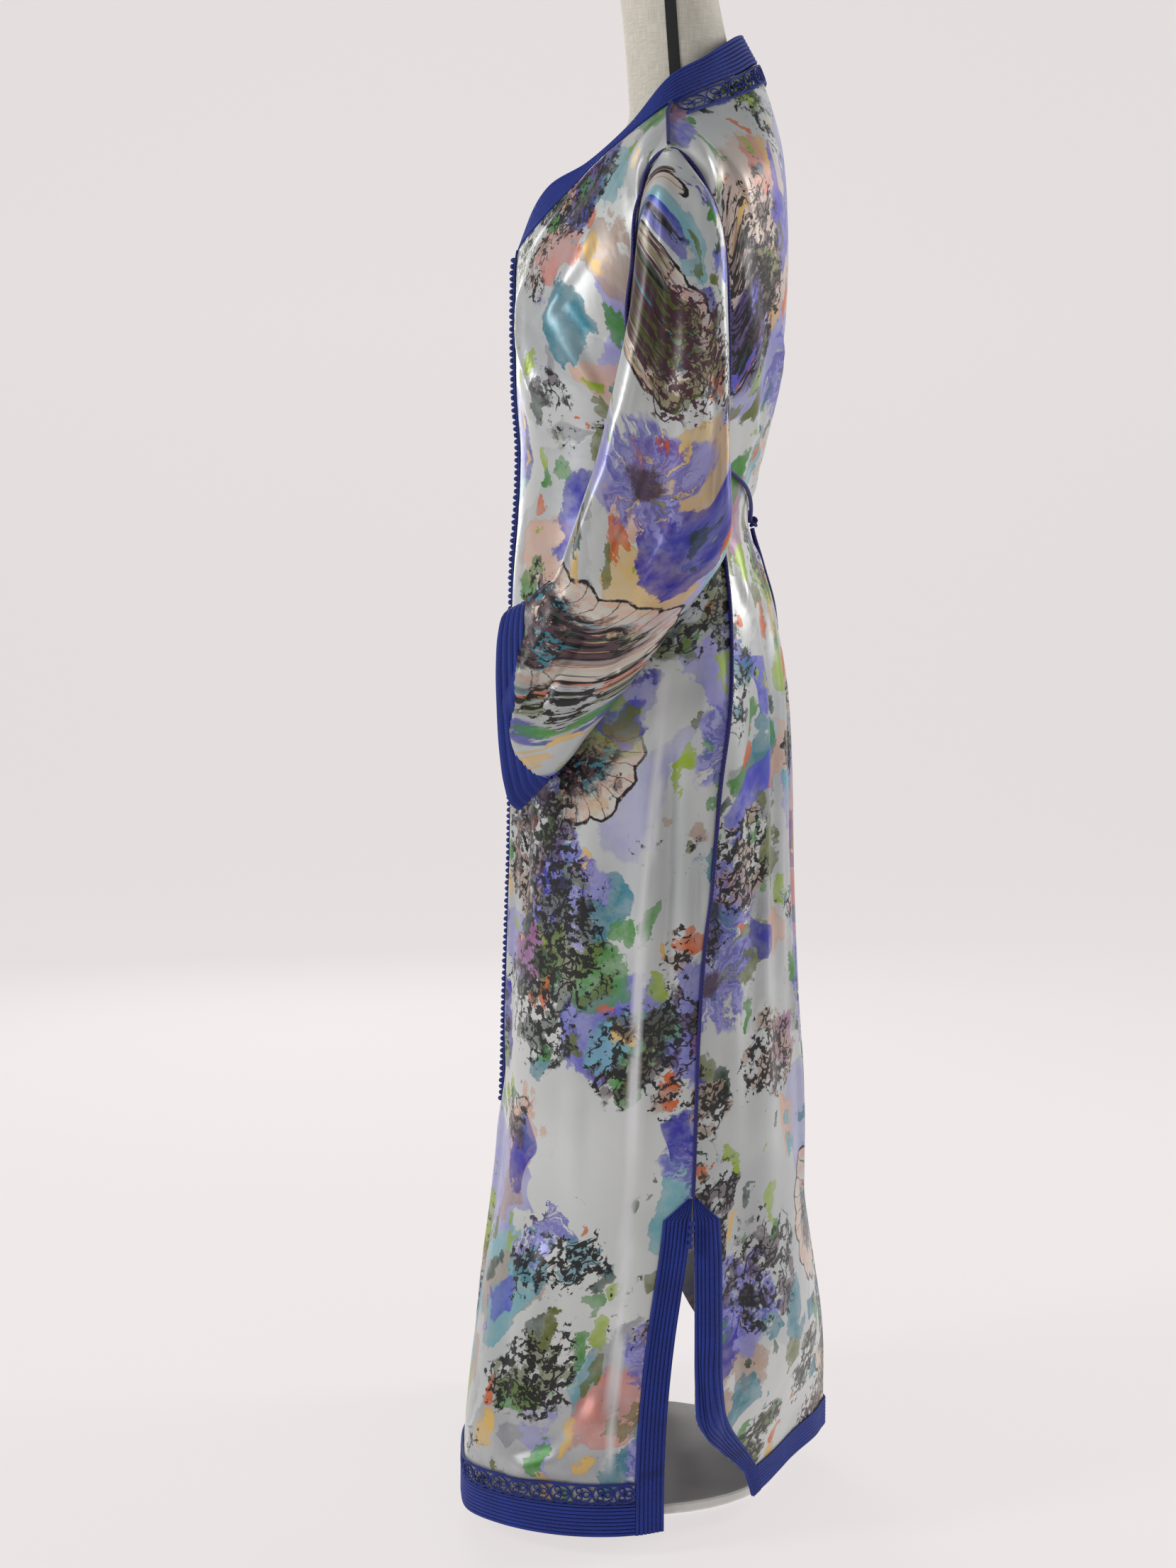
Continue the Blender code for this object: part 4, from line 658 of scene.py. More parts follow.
def smooth_weights(knots, places, closed):
    """How much each point of a row counts at each place along it."""
    if not closed:
        return curve_through(knots, numpy.eye(len(knots)), places)
    count, length = len(knots) - 1, knots[-1]
    order = [count - 2, count - 1, *range(count), 0, 1]
    around = numpy.concatenate([knots[count - 2:count] - length, knots, [knots[1] + length]])
    return curve_through(around, numpy.eye(count)[order], places % length)


def spread(start, end, step):
    """Even places from start to end, no further apart than the step."""
    return numpy.linspace(start, end, max(int(math.ceil(abs(end - start) / step)), 1) + 1)


def all_pairs(rows, columns):
    return [places.ravel() for places in numpy.meshgrid(rows, columns, indexing="ij")]


def unit(vectors):
    return vectors / numpy.maximum(numpy.linalg.norm(vectors, axis=-1, keepdims=True), 1e-12)


def soft_step(values):
    values = numpy.clip(values, 0.0, 1.0)
    return values * values * (3 - 2 * values)


class Sheet:
    """A smooth sheet through rows of points, read at row and column places in metres."""

    def __init__(self, points, row_knots, column_knots, outward, closed=False, creases=(), side=1,
                 flat_sided=False):
        self.points = numpy.array([[tuple(p) for p in row] for row in points])
        self.row_knots, self.column_knots = numpy.array(row_knots), numpy.array(column_knots)
        self.outward, self.closed = outward, closed
        self.creases, self.side, self.flat_sided = creases, side, flat_sided

    def creased(self, rows, columns):
        """Points for pairs of places, with the creases pressed in."""
        bars = smooth_weights(self.row_knots, rows, False) @ self.points.reshape(len(self.points), -1)
        weights = smooth_weights(self.column_knots, columns, self.closed)
        points = (bars.reshape(len(rows), -1, 3) * weights[:, :, None]).sum(axis=1)
        out = numpy.zeros_like(points)
        if self.flat_sided:
            out[:, 0] = self.side
        else:
            out[:, 0], out[:, 1] = points[:, 0], points[:, 1] - 0.02
            out = unit(out)
        return points + out * self.crease_depth(points, out)[:, None] if self.creases else points

    def crease_depth(self, points, out):
        depth = numpy.zeros(len(points))
        mirror = numpy.where(points[:, 0] >= 0, 1.0, -1.0)
        shift = numpy.where(mirror > 0, 0.0, 1.0)[:, None] * numpy.array(RIGHT_SIDE_SHIFT)
        share = numpy.where(mirror > 0, 1.0, RIGHT_SIDE_SHARE)
        flats = {
            "side": points[:, [1, 2]] - shift,
            "front": numpy.stack([points[:, 0] * mirror, points[:, 2]], axis=1) - shift,
            "back": numpy.stack([points[:, 0] * mirror, points[:, 2]], axis=1) - shift,
        }
        facing = {
            "side": soft_step((abs(out[:, 0]) - 0.4) / 0.25),
            "front": soft_step((-out[:, 1] - 0.3) / 0.3),
            "back": soft_step((out[:, 1] - 0.3) / 0.3),
        }
        for crease in self.creases:
            distance, along = nearest_on_line(flats[crease.face], crease.spots)
            width = crease.half_width * (1 + 0.35 * numpy.sin(5.0 * along + 40 * crease.half_width))
            hill = numpy.clip(1 - (distance / (1.6 * width)) ** 2, 0.0, 1.0) ** 2
            ends = soft_step(numpy.minimum(along, 1 - along) / CREASE_RUN_OUT + 0.02)
            depth += crease.depth * hill * ends * facing[crease.face] * share
        return depth

    def lay(self, rows, columns):
        """Points of the sheet and its outward normals, for pairs of places."""
        low, high = self.row_knots[0], self.row_knots[-1]
        rows, columns = numpy.asarray(rows, float), numpy.asarray(columns, float)
        up = (self.creased(numpy.clip(rows + NORMAL_STEP, low, high), columns)
              - self.creased(numpy.clip(rows - NORMAL_STEP, low, high), columns))
        before, after = columns - NORMAL_STEP, columns + NORMAL_STEP
        if not self.closed:
            before, after = [numpy.clip(c, self.column_knots[0], self.column_knots[-1])
                             for c in (before, after)]
        along = self.creased(rows, after) - self.creased(rows, before)
        return self.creased(rows, columns), unit(numpy.cross(along, up)) * self.outward

    def row_at_height(self, column, height):
        """The row place at which a column reaches this height."""
        places = numpy.linspace(self.row_knots[0], self.row_knots[-1], 1200)
        heights = self.creased(places, numpy.full(len(places), column))[:, 2]
        return float(numpy.interp(height, heights, places))


def nearest_on_line(spots, line):
    """Distance to a line through points, and the share of its length at the nearest place."""
    line = numpy.array(line)
    lengths = numpy.linalg.norm(numpy.diff(line, axis=0), axis=1)
    starts = numpy.concatenate([[0.0], numpy.cumsum(lengths)])
    best = numpy.full(len(spots), 1e9)
    along = numpy.zeros(len(spots))
    for a, b, length, start in zip(line, line[1:], lengths, starts):
        t = numpy.clip(((spots - a) @ (b - a)) / length ** 2, 0.0, 1.0)
        distance = numpy.linalg.norm(spots - a - t[:, None] * (b - a), axis=1)
        nearer = distance < best
        best = numpy.where(nearer, distance, best)
        along = numpy.where(nearer, (start + t * length) / starts[-1], along)
    return best, along


def row_knots_of_panels():
    """Row places of the panels' points, in metres up from the hem."""
    levels = [LEVEL_ROWS[0] - 0.035, *LEVEL_ROWS]
    hem = [height for height in HEM_ROWS]
    knots = hem + [hem[-1] + (z - levels[0]) for z in LEVEL_ROWS]
    top = knots[-1]
    return knots + [top + rise * (SHOULDER_TIP[2] - UNDERARM) for rise in TOP_ROWS]


def column_knots_of(panel):
    shares = panel.columns(LEVEL_ROWS[-8])
    return [share * panel.side_length(LEVEL_ROWS[-8]) for share in shares]


@lru_cache(maxsize=None)
def garment():
    """The sheets of the two fronts, the two halves of the back and the two sleeves, by side."""
    rows = row_knots_of_panels()
    front_knots, half_knots = column_knots_of(FRONT_PANEL), column_knots_of(BACK_PANEL)
    fronts, halves = {}, {}
    for side, scale in ((1, LEFT_FOLDS), (-1, RIGHT_FOLDS)):
        front, back = FRONT_PANEL.rows(scale), BACK_PANEL.rows(scale)
        for row in front:
            row[0].x = SEAM_GAP / 2
        for row in back:
            row[0].x = 0.0
        fronts[side] = front if side > 0 else mirrored(front)
        halves[side] = back if side > 0 else mirrored(back)
    middle = [(a[0] + b[0]) / 2 for a, b in zip(halves[1], halves[-1])]
    back = [a[:0:-1] + [m] + b[1:] for a, m, b in zip(halves[1], middle, halves[-1])]
    width = half_knots[-1]
    back_knots = [width - k for k in half_knots[:0:-1]] + [width + k for k in half_knots]
    sheets = {("front", side): Sheet(points, rows, front_knots, side, creases=BODY_CREASES, side=side)
              for side, points in fronts.items()}
    sheets["back"] = Sheet(back, rows, back_knots, 1, creases=BODY_CREASES)
    for side in (1, -1):
        last = len(front_knots) - 1
        edge = 0 if side > 0 else len(back_knots) - 1
        levels = range(UNDERARM_ROW, len(rows))
        loop = [fronts[side][i][last] for i in levels] + [back[i][edge] for i in reversed(levels[1:-1])]
        rings = [[point + into_armhole(loop, k) * ARMHOLE_INSET for k, point in enumerate(loop)]]
        for ring in SLEEVE:
            rings.append([sleeve_point(ring, 2 * math.pi * k / SLEEVE_POINTS, side)
                          for k in range(SLEEVE_POINTS)])
        around = [0.0]
        middle_ring = rings[7]
        for k in range(SLEEVE_POINTS):
            around.append(around[-1] + (middle_ring[(k + 1) % SLEEVE_POINTS] - middle_ring[k]).length)
        down = [0.0]
        for above, below in zip(rings, rings[1:]):
            down.append(down[-1] + sum((a - b).length for a, b in zip(above, below)) / SLEEVE_POINTS)
        sheets[("sleeve", side)] = Sheet(rings, down, around, -side, closed=True, creases=SLEEVE_CREASES,
                                         side=side, flat_sided=True)
        sheets[("armhole", side)] = loop
    return sheets


def into_armhole(loop, k):
    """Square to the armhole's edge in the YZ plane, towards its middle."""
    along = loop[(k + 1) % len(loop)] - loop[k - 1]
    return Vector((0, along.z, -along.y)).normalized()


# Meshes

def new_piece(name, vertices, faces, material_slots, uvs=None, slots=None, smooth=True):
    """A mesh object in the row frame, with its corners' UV places and its faces' material numbers."""
    mesh = bpy.data.meshes.new(name)
    mesh.from_pydata([tuple(v) for v in vertices], [], [tuple(int(i) for i in face) for face in faces])
    if uvs is not None:
        layer = mesh.uv_layers.new(name="UVMap")
        layer.data.foreach_set("uv", numpy.asarray(uvs, dtype=numpy.float32).ravel())
    for material in material_slots:
        mesh.materials.append(material)
    if slots is not None:
        mesh.polygons.foreach_set("material_index", numpy.asarray(slots, dtype=numpy.int32))
    if smooth:
        mesh.shade_smooth()
        mesh.set_sharp_from_angle(angle=math.radians(62))
    piece = bpy.data.objects.new(name, mesh)
    bpy.context.scene.collection.objects.link(piece)
    return piece


def shell_piece(name, outer, inner, uv, outward, closed, material_slots, slots=(0, 0, 0)):
    """A closed shell between two grids of points. slots gives the outside's, inside's and edges' material."""
    height, width = outer.shape[:2]
    vertices = numpy.concatenate([outer.reshape(-1, 3), inner.reshape(-1, 3)])
    inside = height * width
    i, j = numpy.meshgrid(numpy.arange(height - 1), numpy.arange(width if closed else width - 1),
                          indexing="ij")
    i, j = i.ravel(), j.ravel()
    k = (j + 1) % width
    a, b, c, d = i * width + j, i * width + k, (i + 1) * width + k, (i + 1) * width + j
    out_faces = numpy.stack([a, b, c, d], axis=1)
    in_faces = numpy.stack([a, d, c, b], axis=1) + inside
    edges = []
    across = range(width if closed else width - 1)
    for row, flip in ((0, False), (height - 1, True)):
        for j0 in across:
            first, second = row * width + j0, row * width + (j0 + 1) % width
            face = (second, first, first + inside, second + inside)
            edges.append(face[::-1] if flip else face)
    if not closed:
        for column, flip in ((0, True), (width - 1, False)):
            for i0 in range(height - 1):
                first, second = i0 * width + column, (i0 + 1) * width + column
                face = (second, first, first + inside, second + inside)
                edges.append(face[::-1] if flip else face)
    faces = numpy.concatenate([out_faces, in_faces, numpy.array(edges)])
    if outward < 0:
        faces = faces[:, ::-1]
    flat_uv = numpy.concatenate([uv.reshape(-1, 2), uv.reshape(-1, 2)])
    corner_uv = flat_uv[faces.ravel()]
    if closed:
        length = uv[0, -1, 0] + (uv[0, 1, 0] - uv[0, 0, 0])
        corner_uv = corner_uv.reshape(-1, 4, 2)
        wraps = (corner_uv[:, :, 0].max(axis=1) - corner_uv[:, :, 0].min(axis=1)) > length / 2
        low = corner_uv[:, :, 0] < length / 2
        corner_uv[:, :, 0] += numpy.where(wraps[:, None] & low, length, 0.0)
        corner_uv = corner_uv.reshape(-1, 2)
    kinds = numpy.concatenate([numpy.full(len(out_faces), slots[0]), numpy.full(len(in_faces), slots[1]),
                               numpy.full(len(edges), slots[2])])
    return new_piece(name, vertices, faces, material_slots, corner_uv, kinds)


def lengths_along(points):
    """Running length along each row of a grid."""
    steps = numpy.linalg.norm(numpy.diff(points, axis=1), axis=2)
    return numpy.concatenate([numpy.zeros((len(points), 1)), numpy.cumsum(steps, axis=1)], axis=1)


def places_through(knots, step):
    """Places that include every knot, no further apart than the step."""
    parts = [spread(a, b, step)[:-1] for a, b in zip(knots, knots[1:])]
    return numpy.concatenate(parts + [[knots[-1]]])


def cloth_piece(name, sheet, rows, columns, half, materials, print_place, centre_column=0.0, fold=None):
    """A thin shell of satin. Its UV places are metres along its rows and columns, set at its own place in the
    print: the way that rows run there, and how far along and up."""
    r, c = all_pairs(rows, columns)
    points, normals = sheet.lay(r, c)
    pouch = 0.0 if fold is None else fold(r, points, normals).reshape(len(rows), -1, 1)
    shape = (len(rows), len(columns), 3)
    points, normals = points.reshape(shape), normals.reshape(shape)
    across, up = lengths_along(points), lengths_along(points.transpose(1, 0, 2)).T
    middle = int(numpy.argmin(abs(columns - centre_column)))
    if sheet.closed:
        up = up + points[0, :, 2].max() - points[0, :, 2]
    else:
        across = across - across[:, middle:middle + 1] + abs(points[:, middle:middle + 1, 0])
    uv = numpy.stack([across, up], axis=2)
    points = points + normals * pouch
    piece = shell_piece(name, points + normals * half, points - normals * half, uv, sheet.outward,
                        sheet.closed,
                        materials, (0, 1, 0))
    layer = piece.data.uv_layers[0].data
    flat = numpy.empty(len(layer) * 2, dtype=numpy.float32)
    layer.foreach_get("uv", flat)
    way, along, high = print_place
    layer.foreach_set("uv", (flat.reshape(-1, 2) * (way, 1) + (along, high)).ravel().astype(numpy.float32))
    return piece


def band_piece(name, sheet, rows, columns, lengthwise, cords, material, low=None, thickness=None,
               width_at=None):
    """A corded braid on a sheet, between row places and column places. Its cords run lengthwise: "rows" or
    "columns" says which places change along them. width_at narrows it from its last column."""
    low = CLOTH / 2 + LAY_GAP if low is None else low
    thickness = BRAID if thickness is None else thickness
    shares = numpy.linspace(0.0, 1.0, cords * CORD_SAMPLES + 1)
    if lengthwise == "columns":
        row_places = rows[0] + (rows[1] - rows[0]) * shares
        column_places = spread(*columns, TRIM_STEP)
    else:
        row_places = spread(*rows, TRIM_STEP)
        column_places = columns[0] + (columns[1] - columns[0]) * shares
    r, c = all_pairs(row_places, column_places)
    if width_at is not None:
        full = columns[1] - columns[0]
        fixed, sign = (columns[1], -1.0) if width_at[1] == "last" else (columns[0], 1.0)
        narrow = numpy.interp(r, *width_at[0])
        c = fixed + (c - fixed) * narrow / abs(full)
    points, normals = sheet.lay(r, c)
    shape = (len(row_places), len(column_places), 3)
    share = numpy.repeat(shares[:, None], len(column_places), 1) if lengthwise == "columns" else \
        numpy.repeat(shares[None, :], len(row_places), 0)
    turn = (share * cords) % 1.0
    crown = numpy.sqrt(numpy.clip(1 - (2 * turn - 1) ** 2, 0.0, 1.0))
    lift = low + thickness * (BRAID_FLOOR + (1 - BRAID_FLOOR) * crown)
    points, normals = points.reshape(shape), normals.reshape(shape)
    rr, cc = r.reshape(shape[:2]), c.reshape(shape[:2])
    uv = numpy.stack([cc, rr] if lengthwise == "columns" else [rr, cc], axis=2)
    return shell_piece(name, points + normals * lift[:, :, None], points + normals * low, uv, sheet.outward,
                       sheet.closed, [material])


def tube_parts(path, normals, radius, sides, closed):
    """Vertices, faces and UV places of a round cord along a path, its ends capped."""
    path, normals = numpy.asarray(path), numpy.asarray(normals)
    count = len(path)
    if closed:
        tangents = unit(numpy.roll(path, -1, axis=0) - numpy.roll(path, 1, axis=0))
    else:
        tangents = unit(numpy.gradient(path, axis=0))
    side = unit(numpy.cross(tangents, normals))
    up = unit(numpy.cross(side, tangents))
    turns = numpy.arange(sides) * 2 * math.pi / sides
    ring = (numpy.cos(turns)[None, :, None] * up[:, None, :]
            + numpy.sin(turns)[None, :, None] * side[:, None, :])
    radii = numpy.broadcast_to(numpy.asarray(radius, float), (count,))
    vertices = (path[:, None, :] + ring * radii[:, None, None]).reshape(-1, 3)
    steps = numpy.linalg.norm(numpy.diff(path, axis=0), axis=1)
    along = numpy.concatenate([[0.0], numpy.cumsum(steps)])
    faces, uvs = [], []
    for i in range(count if closed else count - 1):
        n = (i + 1) % count
        u0, u1 = along[i], along[n] if n else along[-1] + numpy.linalg.norm(path[0] - path[-1])
        for k in range(sides):
            m = (k + 1) % sides
            faces.append((i * sides + k, i * sides + m, n * sides + m, n * sides + k))
            v0, v1 = k / sides, (k + 1) / sides
            uvs += [(u0, v0), (u0, v1), (u1, v1), (u1, v0)]
    if not closed:
        faces.append(tuple(range(sides))[::-1])
        faces.append(tuple((count - 1) * sides + k for k in range(sides)))
        uvs += [(along[0], k / sides) for k in range(sides)][::-1] + [(along[-1], k / sides)
                                                                      for k in range(sides)]
    return vertices, faces, uvs


class Threads:
    """Cords gathered into one mesh."""

    def __init__(self):
        self.vertices, self.faces, self.uvs, self.count = [], [], [], 0

    def add(self, path, normals, radius, sides=6, closed=False):
        vertices, faces, uvs = tube_parts(path, normals, radius, sides, closed)
        self.faces += [tuple(i + self.count for i in face) for face in faces]
        self.uvs += uvs
        self.vertices.append(vertices)
        self.count += len(vertices)

    def piece(self, name, material):
        return new_piece(name, numpy.concatenate(self.vertices), self.faces, [material], self.uvs)


# Materials

class Socket:
    """A shader socket that takes part in Python expressions. Each operation adds its node."""

    def __init__(self, shader, socket):
        self.shader, self.socket = shader, socket

    def is_vector(self):
        return self.socket.type in ("VECTOR", "RGBA")

    def operation(self, name, first, second, swapped=False):
        if swapped:
            first, second = second, first
        vector = any(isinstance(v, tuple) or (isinstance(v, Socket) and v.is_vector())
                     for v in (first, second))
        if not vector:
            return self.shader.node("ShaderNodeMath", {"operation": name}, {0: first, 1: second})
        if name == "MULTIPLY":
            for value, other in ((first, second), (second, first)):
                if isinstance(value, (int, float)) or (isinstance(value, Socket) and not value.is_vector()):
                    return self.shader.node("ShaderNodeVectorMath", {"operation": "SCALE"},
                                            {0: other, "Scale": value})
        return self.shader.node("ShaderNodeVectorMath", {"operation": name}, {0: first, 1: second})

    def __add__(self, other):
        return self.operation("ADD", self, other)

    def __radd__(self, other):
        return self.operation("ADD", self, other, True)

    def __sub__(self, other):
        return self.operation("SUBTRACT", self, other)

    def __rsub__(self, other):
        return self.operation("SUBTRACT", self, other, True)

    def __mul__(self, other):
        return self.operation("MULTIPLY", self, other)

    def __rmul__(self, other):
        return self.operation("MULTIPLY", self, other, True)

    def __truediv__(self, other):
        return self.operation("DIVIDE", self, other)

    def __rtruediv__(self, other):
        return self.operation("DIVIDE", self, other, True)

    def __pow__(self, other):
        return self.operation("POWER", self, other)


class Shader:
    """One material's nodes."""

    def __init__(self, name):
        self.material = bpy.data.materials.new(name)
        self.material.use_nodes = True
        self.tree = self.material.node_tree
        self.tree.nodes.clear()

    def node(self, kind, settings=None, inputs=None, output=0):
        """A node of this type: its settings come first, a ramp's stops among them, then its sockets."""
        node = self.tree.nodes.new(kind)
        for name, value in (settings or {}).items():
            if name == "stops":
                set_stops(node.color_ramp, value)
            else:
                setattr(node, name, value)
        for name, value in (inputs or {}).items():
            if isinstance(value, Socket):
                self.tree.links.new(value.socket, node.inputs[name])
            else:
                node.inputs[name].default_value = value
        return Socket(self, node.outputs[output])

    def one(self, operation, value, other=0.0):
        return self.node("ShaderNodeMath", {"operation": operation}, {0: value, 1: other})

    def uv(self):
        return self.node("ShaderNodeTexCoord", output="UV")

    def place(self):
        return self.node("ShaderNodeTexCoord", output="Object")

    def noise(self, vector, scale, detail=3.0, roughness=0.5, output="Fac"):
        return self.node("ShaderNodeTexNoise", None, {"Vector": vector, "Scale": scale, "Detail": detail,
                                                      "Roughness": roughness}, output)

    def cells(self, vector, scale, feature="F1", output="Distance", randomness=1.0):
        return self.node("ShaderNodeTexVoronoi", {"feature": feature}, {"Vector": vector, "Scale": scale,
                                                                        "Randomness": randomness}, output)

    def soft(self, value, low, high):
        """A soft step from 0 to 1 as the value goes from low to high, or back down if high is below low."""
        turned = low > high
        step = self.node("ShaderNodeMapRange", {"interpolation_type": "SMOOTHSTEP"},
                         {"Value": value, "From Min": min(low, high), "From Max": max(low, high)})
        return 1.0 - step if turned else step

    def ramp(self, value, stops, interpolation="CONSTANT"):
        return self.node("ShaderNodeValToRGB", {"stops": (stops, interpolation)}, {"Fac": value}, "Color")

    def mix(self, factor, first, second, blend="MIX"):
        node = self.tree.nodes.new("ShaderNodeMix")
        node.data_type, node.blend_type = "RGBA", blend
        for name, value in ((0, factor), (6, first), (7, second)):
            if isinstance(value, Socket):
                self.tree.links.new(value.socket, node.inputs[name])
            else:
                node.inputs[name].default_value = (*value, 1.0) if isinstance(value, tuple) else value
        return Socket(self, node.outputs[2])

    def parts(self, vector):
        node = self.tree.nodes.new("ShaderNodeSeparateXYZ")
        self.tree.links.new(vector.socket, node.inputs[0])
        return [Socket(self, node.outputs[k]) for k in range(3)]

    def join(self, x, y, z=0.0):
        return self.node("ShaderNodeCombineXYZ", None, {"X": x, "Y": y, "Z": z})

    def bump(self, height, distance, strength=1.0):
        return self.node("ShaderNodeBump", None,
                         {"Height": height, "Distance": distance, "Strength": strength})

    def finish(self, colour, roughness, normal=None, **uniform):
        """The surface shader and the output. Uniform values go on the shader's own sockets."""
        inputs = {"Base Color": colour, "Roughness": roughness}
        inputs.update({name.replace("_", " "): value for name, value in uniform.items()})
        if normal is not None:
            inputs["Normal"] = normal
        if isinstance(colour, tuple):
            inputs["Base Color"] = (*colour, 1.0)
        surface = self.node("ShaderNodeBsdfPrincipled", None, inputs)
        self.node_output(surface)
        return self.material

    def node_output(self, surface):
        output = self.tree.nodes.new("ShaderNodeOutputMaterial")
        self.tree.links.new(surface.socket, output.inputs["Surface"])


def set_stops(ramp, value):
    """Ramp stops as (place, colour) pairs, and how it runs between them."""
    stops, interpolation = value
    ramp.interpolation = interpolation
    while len(ramp.elements) < len(stops):
        ramp.elements.new(1.0)
    for element, (place, colour) in zip(ramp.elements, stops):
        element.position = place
        element.color = (*colour, 1.0)


def srgb(red, green, blue):
    """A colour given in the usual 0 to 255, as the shader's linear values."""
    return tuple(v / 255 / 12.92 if v / 255 <= 0.04045 else ((v / 255 + 0.055) / 1.055) ** 2.4
                 for v in (red, green, blue))


VIOLET, DEEP_VIOLET, LILAC = srgb(78, 78, 194), srgb(44, 42, 164), srgb(150, 148, 208)
TEAL, PALE_TEAL, GREEN = srgb(28, 122, 142), srgb(112, 172, 184), srgb(70, 138, 58)
LIME, OLIVE, DARK_GREEN = srgb(150, 176, 48), srgb(100, 108, 44), srgb(32, 62, 44)
SALMON, PEACH, TAN, SAND = srgb(208, 132, 120), srgb(214, 172, 150), srgb(176, 148, 130), srgb(216, 178, 100)
PLUM, INK, GREY, PALE_GREY = srgb(72, 40, 54), srgb(16, 13, 16), srgb(140, 140, 146), srgb(176, 178, 182)
ROSE, ORANGE = srgb(150, 72, 124), srgb(206, 100, 44)

# Washes of the print: how many blots to a metre, where its cells lie, the share of cells that are
# painted, the blots' radius in cells, their strength, how narrow they are, and their colours
Wash = namedtuple("Wash", "scale place share radius strength narrow colours")
WASHES = tuple(Wash(*row) for row in (
    (6.0, 3.1, 0.6, 0.58, 0.62, 1.0, (PALE_GREY, LILAC, GREY, PALE_GREY, PEACH, PALE_GREY)),
    (8.5, 17.7, 0.58, 0.5, 0.92, 1.15, (LILAC, PALE_TEAL, VIOLET, GREY, TAN, LILAC)),
    (11.0, 41.3, 0.5, 0.46, 0.88, 0.9, (PEACH, SALMON, TAN, SAND, ROSE)),
    (12.0, 63.9, 0.58, 0.48, 0.98, 1.4, (TEAL, GREEN, PALE_TEAL, TEAL, OLIVE, LIME)),
    (9.0, 88.2, 0.32, 0.46, 1.0, 1.2, (DEEP_VIOLET, VIOLET, DEEP_VIOLET)),
    (24.0, 12.6, 0.46, 0.44, 1.0, 1.8, (LIME, OLIVE, DARK_GREEN, GREEN, ORANGE, SAND)),
))
InkCluster = namedtuple("InkCluster", "scale place share radius")
INK_CLUSTERS = (InkCluster(6.4, 5.5, 0.52, 0.54), InkCluster(10.0, 29.4, 0.44, 0.52))


def paint_print(shader, uv, ground):
    """A loose watercolour of flowers in the builder's own layout: washes, blots, leaves and ink on satin."""
    drift = shader.noise(uv, 11.0, 2.0, output="Color") - (0.5, 0.5, 0.5)
    ragged = shader.noise(uv, 60.0, 4.0, 0.62, output="Color") - (0.5, 0.5, 0.5)
    spot = uv + drift * 0.1 + ragged * 0.036
    granules = shader.noise(uv, 34.0, 4.0, 0.6)
    bouquet = shader.soft(shader.noise(uv, 4.4, 2.0), 0.34, 0.5)
    colour = shader.mix(shader.soft(shader.noise(uv, 5.0, 3.0), 0.42, 0.66), ground, srgb(186, 189, 190))
    for wash in WASHES:
        cell_uv = (spot + (wash.place, wash.place * 0.7, 0.0)) * (wash.narrow, 1.0, 1.0)
        distance = shader.cells(cell_uv, wash.scale)
        chance, tint, _ = shader.parts(shader.cells(cell_uv, wash.scale, output="Color"))
        limit = bouquet * (wash.share * 0.75) + wash.share * 0.25
        picked = shader.soft(chance - limit, 0.003, -0.003)
        blot = shader.soft(distance, wash.radius, wash.radius - 0.035) * picked
        rim = shader.soft(distance, wash.radius - 0.11, wash.radius - 0.01) * blot
        count = len(wash.colours)
        pigment = shader.ramp(tint, [(k / count, c) for k, c in enumerate(wash.colours)])
        watery = shader.soft(granules + distance * 0.25, 0.72, 0.4) * 0.36 + 0.64
        pigment = shader.mix(rim * 0.34, pigment, pigment * 0.55)
        colour = shader.mix(blot * watery * wash.strength, colour, pigment)
    colour = paint_flowers(shader, uv, drift, ragged, colour)
    return paint_ink(shader, uv, spot, colour)


def local_polar(shader, uv, spot, scale, place):
    """For the nearest flower: distance from its middle, turn about it, and its own random numbers."""
    cell_uv = spot + (place, place * 1.3, 0.0)
    middle = shader.cells(cell_uv, scale, output="Position", randomness=0.75)
    chance, tint, turn = shader.parts(shader.cells(cell_uv, scale, output="Color", randomness=0.75))
    x, y, _ = shader.parts(cell_uv - middle)
    radius = shader.one("SQRT", x * x + y * y)
    return radius, shader.one("ARCTAN2", y, x) + turn * 6.0, chance, tint


